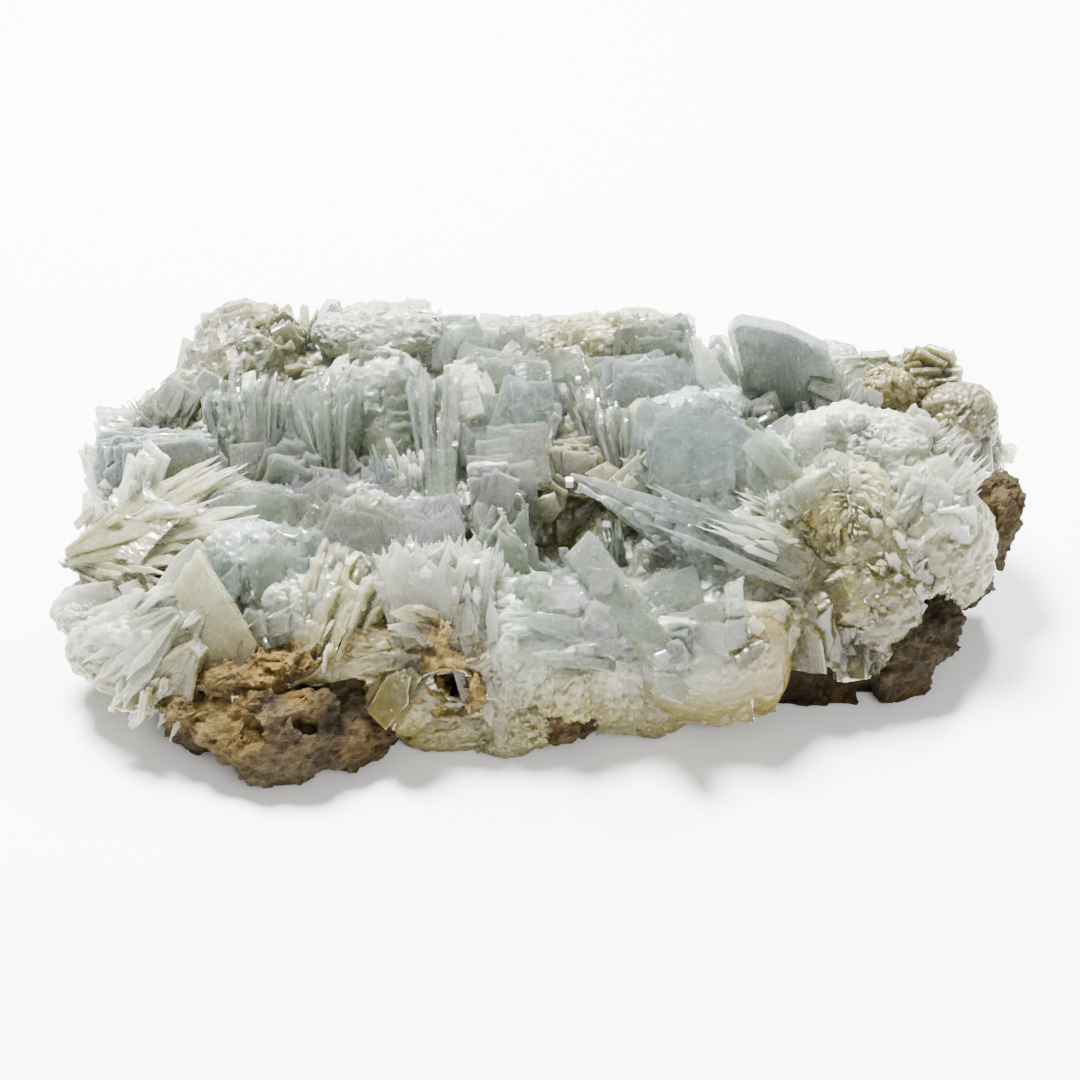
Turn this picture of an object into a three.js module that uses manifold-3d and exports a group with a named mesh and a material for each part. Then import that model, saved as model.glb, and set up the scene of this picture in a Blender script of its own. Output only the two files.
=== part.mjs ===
// Tabular barite crystals grown as one crust over a brown, iron-stained matrix.
// Millimetres: X to the right, Y away from the front, Z up. The cut base of the matrix is at Z = 0.
import * as THREE from "three";
import { mergeVertices } from "three/addons/utils/BufferGeometryUtils.js";
import Module from "manifold-3d";

const wasm = await Module();
wasm.setup();

// Driving dimensions
const GAP = 0.3; // between the crystals and the matrix under them
const CRYSTAL_CLEARANCE = 1.2; // lowest crystal above the floor
const MID_X = 0.848; // middle of the layout's extents, which is moved to the origin
const MID_Y = 2.658;
const CRUST_TOP = 34; // top of the crust at the middle
const CRUST_SLOPE = 0.12; // rise of the crust towards the back, per mm
const CRUST_RIM = 23; // height at which the crust is widest at its two ends
const CRUST_RIM_RISE = 9; // how much higher that is at the back, and lower at the front
const CRUST_BUMP = 1.5; // unevenness of the crust's surface
const CRUST_DETAIL = 5; // subdivisions of the ball that the crust is pressed from
const MATRIX_TOP = 19;
const MATRIX_RIM = 9;
const MATRIX_UNDERSIDE = -4; // before the base is cut flat
const MATRIX_BUMP = 1.6;
const MATRIX_DETAIL = 3;
const WALL_POWER = 0.42; // of a slab's plan towards its poles: lower is a steeper wall
const TOP_POWER = 0.55; // of a slab's height towards its poles: lower is a flatter top
const BUMP_LENGTH = 60; // over which the unevenness moves a slab's wall sideways
const ROOTED = 5; // length of each plate that is buried in the crust
const TOUCH = 0.85; // spacing of a book's plates at their root, as a share of their thickness

// The view in which crystals are placed: 1080 units wide and high, seen from the front and above.
// A crystal's end is [right, down, height]: units right of the view's left edge, units down from
// its top edge, and millimetres above the base.
const VIEW_ELEVATION = 40; // degrees above the horizon
const VIEW_DISTANCE = 480; // from the eye to the target
const VIEW_TARGET = 25; // height of the target, on the origin's axis
const VIEW_CENTRE = 540;
const VIEW_FOCAL = 2438; // view units

// Plans of the crust and of the matrix: points around the origin, from +X through +Y
const CRUST_PLAN = [
  [90, 8], [90, 22], [86, 34], [74, 40], [58, 40], [40, 40], [22, 44], [6, 48], [-12, 46], [-40, 49],
  [-62, 48], [-74, 39], [-84, 24], [-89, 10], [-92, -4], [-89, -16], [-83, -30], [-66, -36], [-46, -36],
  [-28, -34], [-6, -35], [16, -31], [38, -28], [56, -22], [72, -16], [82, -9], [88, 0],
];
const MATRIX_PLAN = [
  [91, 16], [88, 28], [72, 34], [42, 34], [0, 40], [-42, 41], [-66, 38], [-78, 22], [-81, 4],
  [-78, -16], [-76, -30], [-68, -36], [-54, -44], [-42, -45], [-31, -39], [-24, -25], [-8, -25],
  [8, -25], [22, -23], [44, -23], [58, -22], [68, -17], [80, -8], [86, 4],
];

// Domes (+) and hollows (-) of the crust: [x, y, radius, rise]
const CRUST_RELIEF = [
  [-58, 40, 14, 10], [-51, 30, 7, -8], [-20, 42, 22, 5], [14, 42, 30, 4], [60, 28, 20, 5],
  [70, 24, 8, 4], [88, 22, 9, -4], [60, 0, 18, 6], [62, -16, 16, -4], [80, -4, 12, -3],
  [4, -1, 8, -17], [15, -8, 7, -12], [-66, -14, 7, -7], [-88, -10, 10, -8], [-60, -34, 16, -14],
  [-76, -28, 12, -9], [-20, -28, 12, -6], [30, -26, 14, -5], [90, 4, 10, -8],
];

// How far the crust hangs down at its rim: [angle in degrees, height of its lower edge]
const CRUST_SKIRT = [
  [-180, 15], [-155, 8], [-142, 17], [-128, 20], [-118, 6], [-60, 2],
  [-30, 8], [0, 20], [45, 12], [120, 8], [180, 15],
];

// Angular lumps of rock on the matrix: [x, y, z, radius x, radius y, radius z]
const MATRIX_LUMPS = [
  [71, -15, 9, 9, 8, 11], [77, -8, 11, 7, 7, 10], [89.5, 11, 20, 8, 9, 11], [84, 2, 16, 8, 8, 9],
  [-50, -36, 8, 15, 11, 11], [-62, -31, 8, 11, 9, 8], [-38, -35, 6, 10, 8, 9], [4, -27, 5, 8, 8, 7],
];

// Rounded masses of the crust: [x, y, z, radius x, radius y, radius z]
const CRUST_LUMPS = [
  [61, -6, 24, 14, 10, 17], [77, 0, 26, 10, 10, 14], [-59, 38, 38, 12, 9, 12], [84.5, 23, 33, 6.5, 8, 9],
  [33, -21.5, 15, 16, 8.5, 13],
];

// Pits in the face of the matrix, and caves under the crust's edge: the same numbers
const MATRIX_PITS = [
  [-54, -42, 14, 2.4, 3, 2.4], [-44, -41, 15, 2.8, 3, 2.6], [75, -19, 10, 2, 3, 3],
];
const CAVES = [
  [-17, -33, 13, 6, 6, 5], [54, -26, 10, 6, 6, 6],
];

// Outlines of one plate, across its width (-0.5 to 0.5) and along its length (0 to 1)
const OUTLINES = {
  square: [[-0.5, 0], [0.5, 0], [0.5, 0.93], [0.43, 1], [-0.5, 0.96]],
  rhomb: [[-0.36, 0], [0.36, 0], [0.5, 0.55], [0.04, 1], [-0.5, 0.62]],
  spear: [[-0.3, 0], [0.3, 0], [0.5, 0.3], [0.03, 1], [-0.42, 0.5]],
  quill: [[-0.1, 0], [0.1, 0], [0.5, 0.62], [0.08, 1], [-0.4, 0.8]],
  chisel: [[-0.5, 0], [0.5, 0], [0.5, 0.86], [0.1, 1], [-0.5, 0.9]],
  round: [[-0.32, 0], [0.32, 0], [0.5, 0.45], [0.26, 0.92], [-0.2, 1], [-0.5, 0.55]],
  comb: [[-0.4, 0], [0.4, 0], [0.5, 0.82], [0.28, 0.98], [0.2, 0.84], [-0.06, 1], [-0.26, 0.84], [-0.5, 0.9]],
  slab: [[-0.42, 0], [0.5, 0], [0.5, 0.6], [0.08, 0.87], [-0.36, 1], [-0.5, 0.93]],
  slab_low: [[-0.46, 0], [0.5, 0], [0.4, 1], [-0.4, 0.97], [-0.5, 0.8]],
};

// Books of plates that share a root. Root and tip are [right, down, height]; facing is a direction.
// Fan opens the tips across the book and splay turns the plates in their own plane, in degrees.
// [name, outline, root, tip, facing, width, depth of the book, plates, fan, splay]
const BOOKS = [
  // Back left: the hump, the cockscombs and the rim
  ["left_cockscomb", "chisel", [256, 452, 35], [248, 367, 50], [1, 0.1, 0], 11, 13, 3, 26, 0],
  ["fibrous_comb", "spear", [330, 457, 36], [312, 372, 50], [0.9, -0.35, 0.1], 10, 12, 3, 22, 0],
  ["beige_dome_plates", "rhomb", [378, 447, 35], [375, 336, 50], [0, -0.66, 0.75], 22, 7, 2, 12, 10],
  ["white_spear_bundle", "spear", [440, 497, 33], [436, 366, 50], [1, -0.1, 0], 9, 6, 2, 12, 0],
  ["rim_crest_left", "comb", [380, 346, 43], [374, 296, 51], [0, -0.7, 0.7], 24, 8, 2, 12, 14],
  // Middle: faces that lean back to the rim
  ["big_clear_face", "rhomb", [700, 487, 35], [692, 388, 46], [0.1, -0.75, 0.65], 26, 7, 2, 8, 8],
  // Right: the cream rosette and the blades at its end
  ["rosette_main", "round", [852, 592, 21], [838, 447, 47], [0, -0.84, 0.54], 25, 9, 2, 16, 20],
  ["right_white_blades", "spear", [938, 517, 31], [985, 456, 42], [0.5, -0.5, 0.7], 7, 8, 2, 20, 0],
  // Right of the middle: the long spears over the cavity
  ["great_spear", "spear", [778, 592, 27], [569, 476, 42], [-0.25, -0.85, 0.45], 12, 5, 2, 5, 0],
  // Front right: curved, stepped plates
  ["curved_stepped_plates", "square", [712, 700, 8], [690, 605, 29], [-0.2, -0.85, 0.45], 21, 8, 2, 10, 10],
  // Centre
  ["cream_comb", "chisel", [335, 642, 23], [362, 547, 37], [0.85, -0.45, 0.2], 10, 9, 3, 20, 0],
  ["white_comb", "comb", [440, 627, 25], [436, 532, 40], [-0.1, -0.9, 0.4], 20, 8, 2, 18, 22],
  // Left: the slab, the spray and the fan
  ["spray_top", "quill", [76, 558, 26], [226, 496, 37], [0.1, -0.4, 0.9], 15, 6, 3, 12, 14],
  ["white_fan_left", "round", [188, 618, 25], [99, 690, 11], [-0.35, -0.75, 0.55], 15, 8, 2, 16, 30],
  ["white_fan_low", "round", [200, 640, 21], [148, 718, 7], [-0.2, -0.8, 0.55], 13, 7, 2, 14, 20],
  // Front middle: the crust over the cave and the plates below it
  ["yellow_plates", "rhomb", [395, 640, 21], [392, 725, 5], [-0.1, -0.88, 0.45], 17, 7, 2, 12, 14],
];

// Plates that stand alone: [name, outline, root, tip, facing, width, thickness]
const SINGLE_PLATES = [
  // Back left: the hump, the cockscombs and the rim
  ["hump_crown", "rhomb", [238, 345, 42], [244, 303, 51.5], [-0.3, -0.75, 0.6], 16, 4.5],
  ["hump_left_block", "square", [188, 418, 33], [211, 347, 45], [-0.5, -0.6, 0.6], 13, 3.5],
  ["hump_right_shoulder", "rhomb", [285, 350, 41], [280, 303, 50], [0.4, -0.7, 0.6], 13, 3.5],
  ["stepped_square_plates", "square", [505, 472, 35], [508, 358, 49], [0, -0.7, 0.7], 20, 4.5],
  ["rim_blue_blade", "chisel", [318, 328, 45], [338, 300, 51], [-0.3, -0.8, 0.5], 3.5, 2],
  ["rim_blue_blocks", "square", [455, 358, 42], [458, 309, 49], [0.1, -0.7, 0.7], 10, 4],
  ["rim_cream_crest", "comb", [575, 352, 41], [572, 311, 48], [0, -0.6, 0.8], 12, 4],
  ["rim_crest_right", "comb", [648, 352, 43], [652, 311, 50], [0, -0.7, 0.7], 18, 4.5],
  ["rim_grey_plate", "rhomb", [722, 392, 41], [722, 344, 49], [0.1, -0.7, 0.7], 9, 2],
  // Middle: faces that lean back to the rim
  ["back_grey_block", "square", [562, 405, 39], [548, 347, 46], [0, -0.7, 0.7], 15, 3.5],
  ["rim_grey_slope", "square", [512, 372, 39], [513, 322, 47], [0, -0.7, 0.7], 13, 3],
  ["rim_slab_foot", "rhomb", [722, 385, 40], [714, 332, 49], [0, -0.7, 0.7], 9, 3],
  ["bluegrey_fan", "rhomb", [650, 422, 37], [640, 350, 48], [0, -0.75, 0.66], 22, 4],
  ["bright_edge_slab", "spear", [722, 402, 42], [692, 336, 52], [0.35, -0.45, 0.8], 7, 2],
  ["slender_blades_left", "spear", [598, 442, 37], [580, 378, 48], [0.95, -0.25, 0.1], 7, 2],
  ["blue_white_wing", "rhomb", [792, 502, 37], [765, 420, 47], [-0.4, -0.65, 0.6], 12, 4],
  // Back right: the tall crystal and the knobs
  ["tall_tabular_crystal", "slab", [788, 402, 41], [774, 313, 61], [-0.15, -0.85, 0.5], 19, 3],
  ["pale_crust_block", "square", [830, 414, 39], [832, 350, 48], [0.1, -0.7, 0.7], 16, 4.5],
  ["knob_slope", "square", [878, 400, 40], [874, 350, 47], [0.1, -0.7, 0.7], 9, 3],
  ["amber_lump", "round", [888, 427, 36], [886, 360, 47], [0, -0.7, 0.7], 9, 4.5],
  ["pale_knobs", "round", [937, 402, 37], [932, 347, 46], [0.1, -0.7, 0.7], 13, 4.5],
  ["olive_dome", "round", [985, 462, 27], [974, 383, 41], [0.3, -0.7, 0.6], 10, 5],
  // Right: the cream rosette and the blades at its end
  ["rosette_back_rim", "round", [862, 482, 39], [850, 413, 49], [0, -0.8, 0.6], 20, 3],
  ["rosette_right", "round", [905, 584, 21], [925, 470, 43], [0.3, -0.8, 0.5], 16, 4],
  ["rosette_low_right", "round", [912, 602, 17], [952, 518, 35], [0.45, -0.75, 0.45], 18, 4.5],
  ["rosette_end_cap", "round", [958, 578, 20], [985, 515, 31], [0.8, -0.5, 0.3], 12, 3.5],
  ["rosette_grey_plate", "round", [802, 645, 16], [800, 583, 28], [-0.3, -0.85, 0.4], 10, 2],
  ["rosette_tan_plate", "round", [852, 662, 13], [850, 612, 22], [0.1, -0.9, 0.4], 13, 3],
  ["rosette_left_wall", "round", [802, 612, 17], [770, 502, 38], [-0.6, -0.7, 0.4], 12, 3.5],
  // Right of the middle: the long spears over the cavity
  ["spear_upper", "spear", [792, 566, 31], [652, 494, 40], [-0.2, -0.6, 0.75], 10, 3],
  ["spear_lower", "spear", [748, 606, 23], [640, 545, 31], [-0.2, -0.8, 0.55], 9, 2],
  ["cavity_upright_blades", "spear", [613, 582, 21], [604, 514, 34], [0.4, -0.8, 0.3], 6, 2],
  ["long_clear_blade", "square", [655, 648, 25], [577, 541, 36], [-0.2, -0.6, 0.75], 7, 2],
  ["pocket_grey_plate", "rhomb", [680, 628, 23], [650, 563, 30], [0, -0.5, 0.85], 16, 2],
  // Front right: curved, stepped plates
  ["fin_blade", "square", [737, 652, 21], [734, 575, 38], [0.35, -0.9, 0.2], 5, 2],
  ["cream_curved_plates", "round", [762, 696, 8], [768, 600, 29], [0.35, -0.85, 0.4], 12, 4],
  ["front_white_lump", "rhomb", [615, 716, 6], [610, 645, 24], [-0.1, -0.9, 0.4], 12, 4],
  // Centre
  ["lilac_squares", "square", [490, 522, 31], [488, 457, 43], [-0.1, -0.7, 0.7], 10, 3],
  ["grey_cavity_plates", "rhomb", [506, 578, 25], [500, 505, 38], [0.25, -0.8, 0.55], 11, 3.5],
  ["lilac_shelf", "rhomb", [368, 562, 29], [358, 481, 40], [0, -0.65, 0.75], 22, 3.5],
  // Left: the slab, the spray and the fan
  ["wide_blue_slab", "slab_low", [172, 492, 30], [170, 429, 41], [0, -0.55, 0.83], 28, 3],
  ["white_blade_bundle", "square", [132, 502, 33], [150, 449, 44], [-0.5, -0.6, 0.6], 7, 2],
  ["rim_clear_blades", "spear", [157, 432, 35], [135, 398, 43], [0.7, -0.5, 0.5], 7, 3.5],
  ["left_corner_plate", "square", [118, 448, 33], [118, 412, 41], [-0.3, -0.6, 0.7], 9, 2],
  ["left_rim_plate", "square", [106, 484, 27], [94, 440, 36], [-0.6, -0.6, 0.5], 9, 3],
  ["spray_low", "quill", [78, 568, 25], [168, 594, 26], [-0.1, -0.75, 0.65], 9, 2],
  ["crest_plates", "comb", [255, 523, 31], [256, 480, 38], [0, -0.55, 0.83], 20, 3],
  ["blue_white_block", "rhomb", [212, 607, 25], [224, 530, 36], [-0.1, -0.7, 0.7], 11, 3.5],
  ["mint_jagged_plate", "comb", [286, 592, 27], [280, 520, 38], [0.1, -0.75, 0.65], 13, 3.5],
  ["blue_upright_blade", "chisel", [316, 592, 27], [312, 529, 38], [0.3, -0.9, 0.3], 4.5, 2],
  ["layered_ledges", "square", [252, 627, 21], [326, 588, 30], [0, -0.5, 0.87], 11, 4.5],
  ["grey_cream_face", "rhomb", [207, 657, 17], [191, 551, 34], [-0.2, -0.8, 0.55], 18, 3],
  ["glitter_crust", "rhomb", [112, 602, 22], [62, 622, 16], [-0.3, -0.8, 0.5], 13, 3.5],
  ["white_fan_back", "round", [152, 614, 26], [100, 652, 16], [-0.4, -0.7, 0.6], 11, 3.5],
  ["stained_ledge", "rhomb", [290, 645, 23], [225, 690, 16], [-0.2, -0.8, 0.55], 18, 3],
  // Front middle: the crust over the cave and the plates below it
  ["arch_crust", "round", [470, 648, 20], [395, 615, 27], [0, -0.65, 0.75], 7, 3],
  ["drape_blades", "spear", [470, 622, 25], [496, 727, 3], [0.3, -0.9, 0.2], 7, 3.5],
  ["yellow_foot", "square", [430, 705, 9], [484, 750, 1.5], [0, -0.9, 0.4], 10, 3],
  ["diagonal_white_blade", "spear", [528, 716, 7], [572, 645, 24], [0.35, -0.9, 0.2], 5, 2],
  ["foot_sparkle", "square", [512, 715, 9], [518, 753, 1.5], [0, -0.9, 0.4], 10, 3],
];

// The wall of the back, where root and tip are in millimetres: [name, root, tip, facing, width, thickness]
const BACK_PLATES = [
  ["back_wall_1", [-70, 36, 20], [-76, 40, 33], [-0.4, 0.9, 0.2], 13, 4],
  ["back_wall_2", [-50, 43, 20], [-54, 48, 35], [-0.2, 0.9, 0.3], 16, 5],
  ["back_wall_3", [-28, 43, 18], [-26, 48, 32], [0.2, 0.9, 0.3], 14, 4],
  ["back_wall_4", [-2, 43, 20], [-4, 48, 35], [-0.1, 0.9, 0.3], 17, 5],
  ["back_wall_5", [24, 40, 18], [27, 45, 32], [0.2, 0.9, 0.3], 15, 4],
  ["back_wall_6", [48, 36, 20], [46, 42, 34], [-0.2, 0.9, 0.3], 16, 5],
  ["back_wall_7", [72, 36, 18], [78, 40, 32], [0.5, 0.8, 0.3], 13, 4],
];

const SEED = 11;
const { seededRandom, degToRad, lerp } = THREE.MathUtils;
const between = (low, high) => lerp(low, high, seededRandom());
seededRandom(SEED);

// A closed three.js geometry as a manifold-3d solid.
function solidOf(geometry) {
  const bare = geometry.clone();
  bare.deleteAttribute("normal");
  bare.deleteAttribute("uv");
  const merged = mergeVertices(bare, 1e-4);
  return new wasm.Manifold(
    new wasm.Mesh({
      numProp: 3,
      vertProperties: merged.attributes.position.array,
      triVerts: new Uint32Array(merged.index.array),
    }),
  );
}

// The solid's largest body as a named mesh with flat shading.
function meshOf(name, solid, material) {
  const bodies = solid.decompose().sort((a, b) => b.volume() - a.volume());
  const { vertProperties, triVerts } = bodies[0].getMesh();
  const geometry = new THREE.BufferGeometry();
  geometry.setAttribute("position", new THREE.BufferAttribute(vertProperties, 3));
  geometry.setIndex(new THREE.BufferAttribute(triVerts, 1));
  const mesh = new THREE.Mesh(geometry, material);
  mesh.name = name;
  return mesh;
}

// Distance from the origin to a smooth closed plan outline, by angle.
function planRadius(points) {
  const steps = 360;
  const curve = new THREE.CatmullRomCurve3(
    points.map(([x, y]) => new THREE.Vector3(x, y, 0)),
    true,
  );
  const samples = curve
    .getPoints(steps)
    .map((p) => [Math.atan2(p.y, p.x), Math.hypot(p.x, p.y)])
    .sort((a, b) => a[0] - b[0]);
  return (angle) => {
    const after = samples.findIndex(([a]) => a >= angle);
    const [a1, r1] = samples[after < 0 ? 0 : after];
    const [a0, r0] = samples.at(after < 1 ? -1 : after - 1);
    return Math.abs(a1 - a0) > 1 ? r1 : lerp(r0, r1, (angle - a0) / (a1 - a0 || 1));
  };
}

// Value between the neighbouring [key, value] rows.
function valueAlong(rows, key) {
  const next = Math.max(1, rows.findIndex(([k]) => k >= key));
  const [k0, v0] = rows[next - 1];
  const [k1, v1] = rows[next];
  return lerp(v0, v1, (key - k0) / (k1 - k0));
}

// Uneven relief of broken rock and crust, from -1 to 1.
function rough(x, y, z) {
  return (
    Math.sin(0.31 * x + 1.3 * Math.sin(0.23 * y) + 0.4 * z) * 0.5 +
    Math.sin(0.47 * y - 0.9 * Math.sin(0.37 * x) + 0.29 * z) * 0.3 +
    Math.sin(0.83 * x + 0.71 * y + 0.53 * z) * 0.2
  );
}

const crustTop = (x, y) =>
  CRUST_RELIEF.reduce(
    (height, [cx, cy, radius, rise]) =>
      height + rise * Math.exp(-((x - cx) ** 2 + (y - cy) ** 2) / radius ** 2),
    CRUST_TOP + CRUST_SLOPE * y,
  );

// A slab with a lumpy top: a ball pressed out to the plan, with its own heights above and below the rim.
function slabBody({ plan, detail, rim, top, bottom, grow, roughness }) {
  const radiusAt = planRadius(plan);
  const geometry = new THREE.IcosahedronGeometry(1, detail);
  const position = geometry.attributes.position;
  const point = new THREE.Vector3();
  for (let i = 0; i < position.count; i++) {
    point.fromBufferAttribute(position, i);
    const angle = Math.atan2(point.y, point.x);
    const around = Math.hypot(point.x, point.y);
    const reach = (radiusAt(angle) + grow) * around ** WALL_POWER;
    const x = reach * Math.cos(angle);
    const y = reach * Math.sin(angle);
    const bump = roughness * rough(x, y, BUMP_LENGTH * point.z);
    const out = 1 + (bump * around) / BUMP_LENGTH;
    const up = Math.abs(point.z) ** TOP_POWER;
    const widest = rim(angle);
    const z = point.z > 0 ? lerp(widest, top(x, y) + grow + bump, up) : lerp(widest, bottom(angle), up);
    position.setXYZ(i, x * out, y * out, z);
  }
  return solidOf(geometry);
}

// Angular lump of rock: a coarse ball with uneven corners.
function lump([x, y, z, rx, ry, rz], grow = 0) {
  const geometry = new THREE.IcosahedronGeometry(1, 1);
  const position = geometry.attributes.position;
  for (let i = 0; i < position.count; i++) {
    const [px, py, pz] = [position.getX(i), position.getY(i), position.getZ(i)];
    const size = 1 + 0.22 * rough(9 * px + x, 9 * py + y, 9 * pz);
    position.setXYZ(i, x + (rx * size + grow) * px, y + (ry * size + grow) * py, z + (rz * size + grow) * pz);
  }
  return solidOf(geometry);
}

// Everything under a height, for flat cuts.
function below(height) {
  const deep = 100;
  const block = new THREE.BoxGeometry(400, 400, deep);
  block.translate(0, 0, height - deep / 2);
  return solidOf(block);
}

// The point that shows at a place in the view, at a height above the base.
function placed([right, down, height]) {
  const tilt = degToRad(VIEW_ELEVATION);
  const forward = new THREE.Vector3(0, Math.cos(tilt), -Math.sin(tilt));
  const upward = new THREE.Vector3(0, Math.sin(tilt), Math.cos(tilt));
  const eye = new THREE.Vector3(0, 0, VIEW_TARGET).addScaledVector(forward, -VIEW_DISTANCE);
  const sight = forward.addScaledVector(upward, (VIEW_CENTRE - down) / VIEW_FOCAL);
  sight.x = (right - VIEW_CENTRE) / VIEW_FOCAL;
  return eye.addScaledVector(sight, (height - eye.z) / sight.z);
}

// One flat crystal rooted at the origin: width along X, length along Y, thickness along Z.
function plate(outline, width, length, thickness) {
  const points = outline.map(([x, y]) => new THREE.Vector2(x * width, y * (length + ROOTED) - ROOTED));
  const geometry = new THREE.ExtrudeGeometry(new THREE.Shape(points), {
    depth: thickness,
    bevelEnabled: false,
  });
  return geometry.translate(0, 0, -thickness / 2);
}

// The frame of a crystal that grows from root to tip and faces a given way:
// X across it, Y along it, Z out of its face.
function growthFrame(root, tip, facing) {
  const along = tip.clone().sub(root);
  const length = along.length();
  along.normalize();
  const normal = new THREE.Vector3(...facing);
  normal.addScaledVector(along, -normal.dot(along)).normalize();
  const across = new THREE.Vector3().crossVectors(along, normal);
  return { length, matrix: new THREE.Matrix4().makeBasis(across, along, normal).setPosition(root) };
}

function singlePlate([, outline, root, tip, facing, width, thickness]) {
  const { length, matrix } = growthFrame(placed(root), placed(tip), facing);
  return solidOf(plate(OUTLINES[outline], width, length, thickness).applyMatrix4(matrix));
}

function backPlate([, root, tip, facing, width, thickness]) {
  const { length, matrix } = growthFrame(new THREE.Vector3(...root), new THREE.Vector3(...tip), facing);
  return solidOf(plate(OUTLINES.square, width, length, thickness).applyMatrix4(matrix));
}

// A book of plates that share a root and open towards their tips.
function book([, outline, root, tip, facing, width, depth, count, fan, splay]) {
  const { length, matrix } = growthFrame(placed(root), placed(tip), facing);
  const thickness = depth / count;
  const plates = [];
  for (let i = 0; i < count; i++) {
    const place = i / (count - 1) - 0.5;
    const longest = i === count >> 1;
    const mirrored = OUTLINES[outline].map(([x, y]) => [i % 2 ? -x : x, y]);
    const points = i % 2 ? mirrored.reverse() : mirrored;
    const grown = length * (longest ? 1 : between(0.74, 0.96));
    const turn = degToRad(splay) * between(-0.8, 0.8);
    const geometry = plate(points, width * between(0.8, 1), grown, thickness)
      .rotateZ(turn)
      .rotateX(degToRad(fan) * place)
      .translate(0, 0, place * (count - 1) * thickness * TOUCH)
      .applyMatrix4(matrix);
    plates.push(solidOf(geometry));
  }
  return plates;
}

function matrixSolid(grow) {
  const slab = slabBody({
    plan: MATRIX_PLAN,
    detail: MATRIX_DETAIL,
    rim: () => MATRIX_RIM,
    top: () => MATRIX_TOP,
    bottom: () => MATRIX_UNDERSIDE,
    grow,
    roughness: MATRIX_BUMP,
  });
  const rock = wasm.Manifold.union([slab, ...MATRIX_LUMPS.map((row) => lump(row, grow))]);
  return rock.subtract(below(0));
}

function crystalSolid() {
  const crust = slabBody({
    plan: CRUST_PLAN,
    detail: CRUST_DETAIL,
    rim: (angle) => CRUST_RIM + CRUST_RIM_RISE * Math.sin(angle),
    top: crustTop,
    bottom: (angle) => valueAlong(CRUST_SKIRT, THREE.MathUtils.radToDeg(angle)),
    grow: 0,
    roughness: CRUST_BUMP,
  });
  const hollowed = wasm.Manifold.union(CAVES.map((row) => lump(row)));
  const masses = wasm.Manifold.union([crust, ...CRUST_LUMPS.map((row) => lump(row))]);
  const plates = [...BOOKS.flatMap(book), ...SINGLE_PLATES.map(singlePlate), ...BACK_PLATES.map(backPlate)];
  return wasm.Manifold.union([masses.subtract(hollowed), ...plates])
    .subtract(matrixSolid(GAP))
    .subtract(below(CRYSTAL_CLEARANCE));
}

const rockMaterial = new THREE.MeshStandardMaterial({ color: 0x7a6448, roughness: 0.9, metalness: 0 });
const bariteMaterial = new THREE.MeshStandardMaterial({ color: 0xc6cdc6, roughness: 0.35, metalness: 0 });

const barite = new THREE.Group();
const pits = wasm.Manifold.union(MATRIX_PITS.map((row) => lump(row)));
barite.add(meshOf("matrix", matrixSolid(0).subtract(pits), rockMaterial));
barite.add(meshOf("barite_crystals", crystalSolid(), bariteMaterial));
barite.position.set(-MID_X, -MID_Y, 0);

export default barite;
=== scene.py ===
import math
import random

import bmesh
import bpy
import numpy as np
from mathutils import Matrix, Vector, noise


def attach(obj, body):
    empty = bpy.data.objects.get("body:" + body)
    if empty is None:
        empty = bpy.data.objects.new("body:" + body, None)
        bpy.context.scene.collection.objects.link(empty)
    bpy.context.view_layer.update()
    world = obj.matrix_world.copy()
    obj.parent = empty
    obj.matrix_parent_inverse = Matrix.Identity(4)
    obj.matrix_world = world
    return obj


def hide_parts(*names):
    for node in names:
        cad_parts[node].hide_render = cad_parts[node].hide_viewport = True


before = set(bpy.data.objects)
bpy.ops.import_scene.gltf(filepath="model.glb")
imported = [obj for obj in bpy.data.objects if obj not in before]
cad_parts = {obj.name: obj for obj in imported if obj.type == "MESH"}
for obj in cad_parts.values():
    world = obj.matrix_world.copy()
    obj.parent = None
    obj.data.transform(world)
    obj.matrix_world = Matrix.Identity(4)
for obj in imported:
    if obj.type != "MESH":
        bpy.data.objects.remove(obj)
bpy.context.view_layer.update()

MM = 0.001  # metres in a millimetre
SEED = 11
MID = np.array((0.848, 2.658, 0.0))  # the layout's middle, which the part has at its origin

# The view that the layout is given in, 1080 units wide and high, from the front and above
VIEW_ELEVATION = math.radians(40)
VIEW_DISTANCE = 480.0  # from the eye to the target
VIEW_TARGET = np.array((0.0, 0.0, 25.0))
VIEW_UNITS = 1080
VIEW_FOCAL = 2438  # view units
SENSOR = 36.0  # width of the camera's sensor
FLOOR_REACH = 3.0  # metres from the part to the floor's sides
LIT_POINT = (0, 0, 0.02)  # where the lights are aimed, in metres

COMB_PITCH = 0.6  # spacing of the plates in a book seen from its edges
STACK_PITCH = 0.95  # thickness of the plates in one seen from its face
STACK_SHARE = 8.0  # of a book's section for each of those plates, in square millimetres
STRIP_PITCH = 1.1  # spacing of the upright strips that make up a curved face
THICKEST_SINGLE = 2.6  # of the crystals that stand alone
EDGE_ON = 0.42  # a book whose normal lies less than this along the line of sight is seen from its edges
SPRAY_SPLAY = 18  # a book that splays by this many degrees or more is a spray of narrow blades
CHAMFER = 0.16  # of a plate's rim
MOST_CHAMFER = 0.3  # as a share of the plate's reach from its middle
LEAST_REACH = 0.4  # that the chamfer's share is taken of
CHIPPED_FROM = 0.25  # of a plate's length: its edges are chipped from here to the tip
CHIP_PITCH = 1.8  # of the steps along a chipped edge
MOST_CHIPS = 4  # steps along one edge
SHORTEST_CHIPPED = 2.0  # length of an edge, below which it stays straight
LUMP_LEVEL = 5  # subdivisions of a lump
DEGREE = 0.017  # in radians, near enough for where a comb's small blades stand
GRAIN_TURN = 0.07  # how fast the small plates of a lump turn from place to place, per millimetre
FLOOR_GAP = 0.4  # least height of a plate or a mass above the base
BASE_HEIGHT = 0.6  # of the remeshed solids' lowest vertices, which stay as they are
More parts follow.
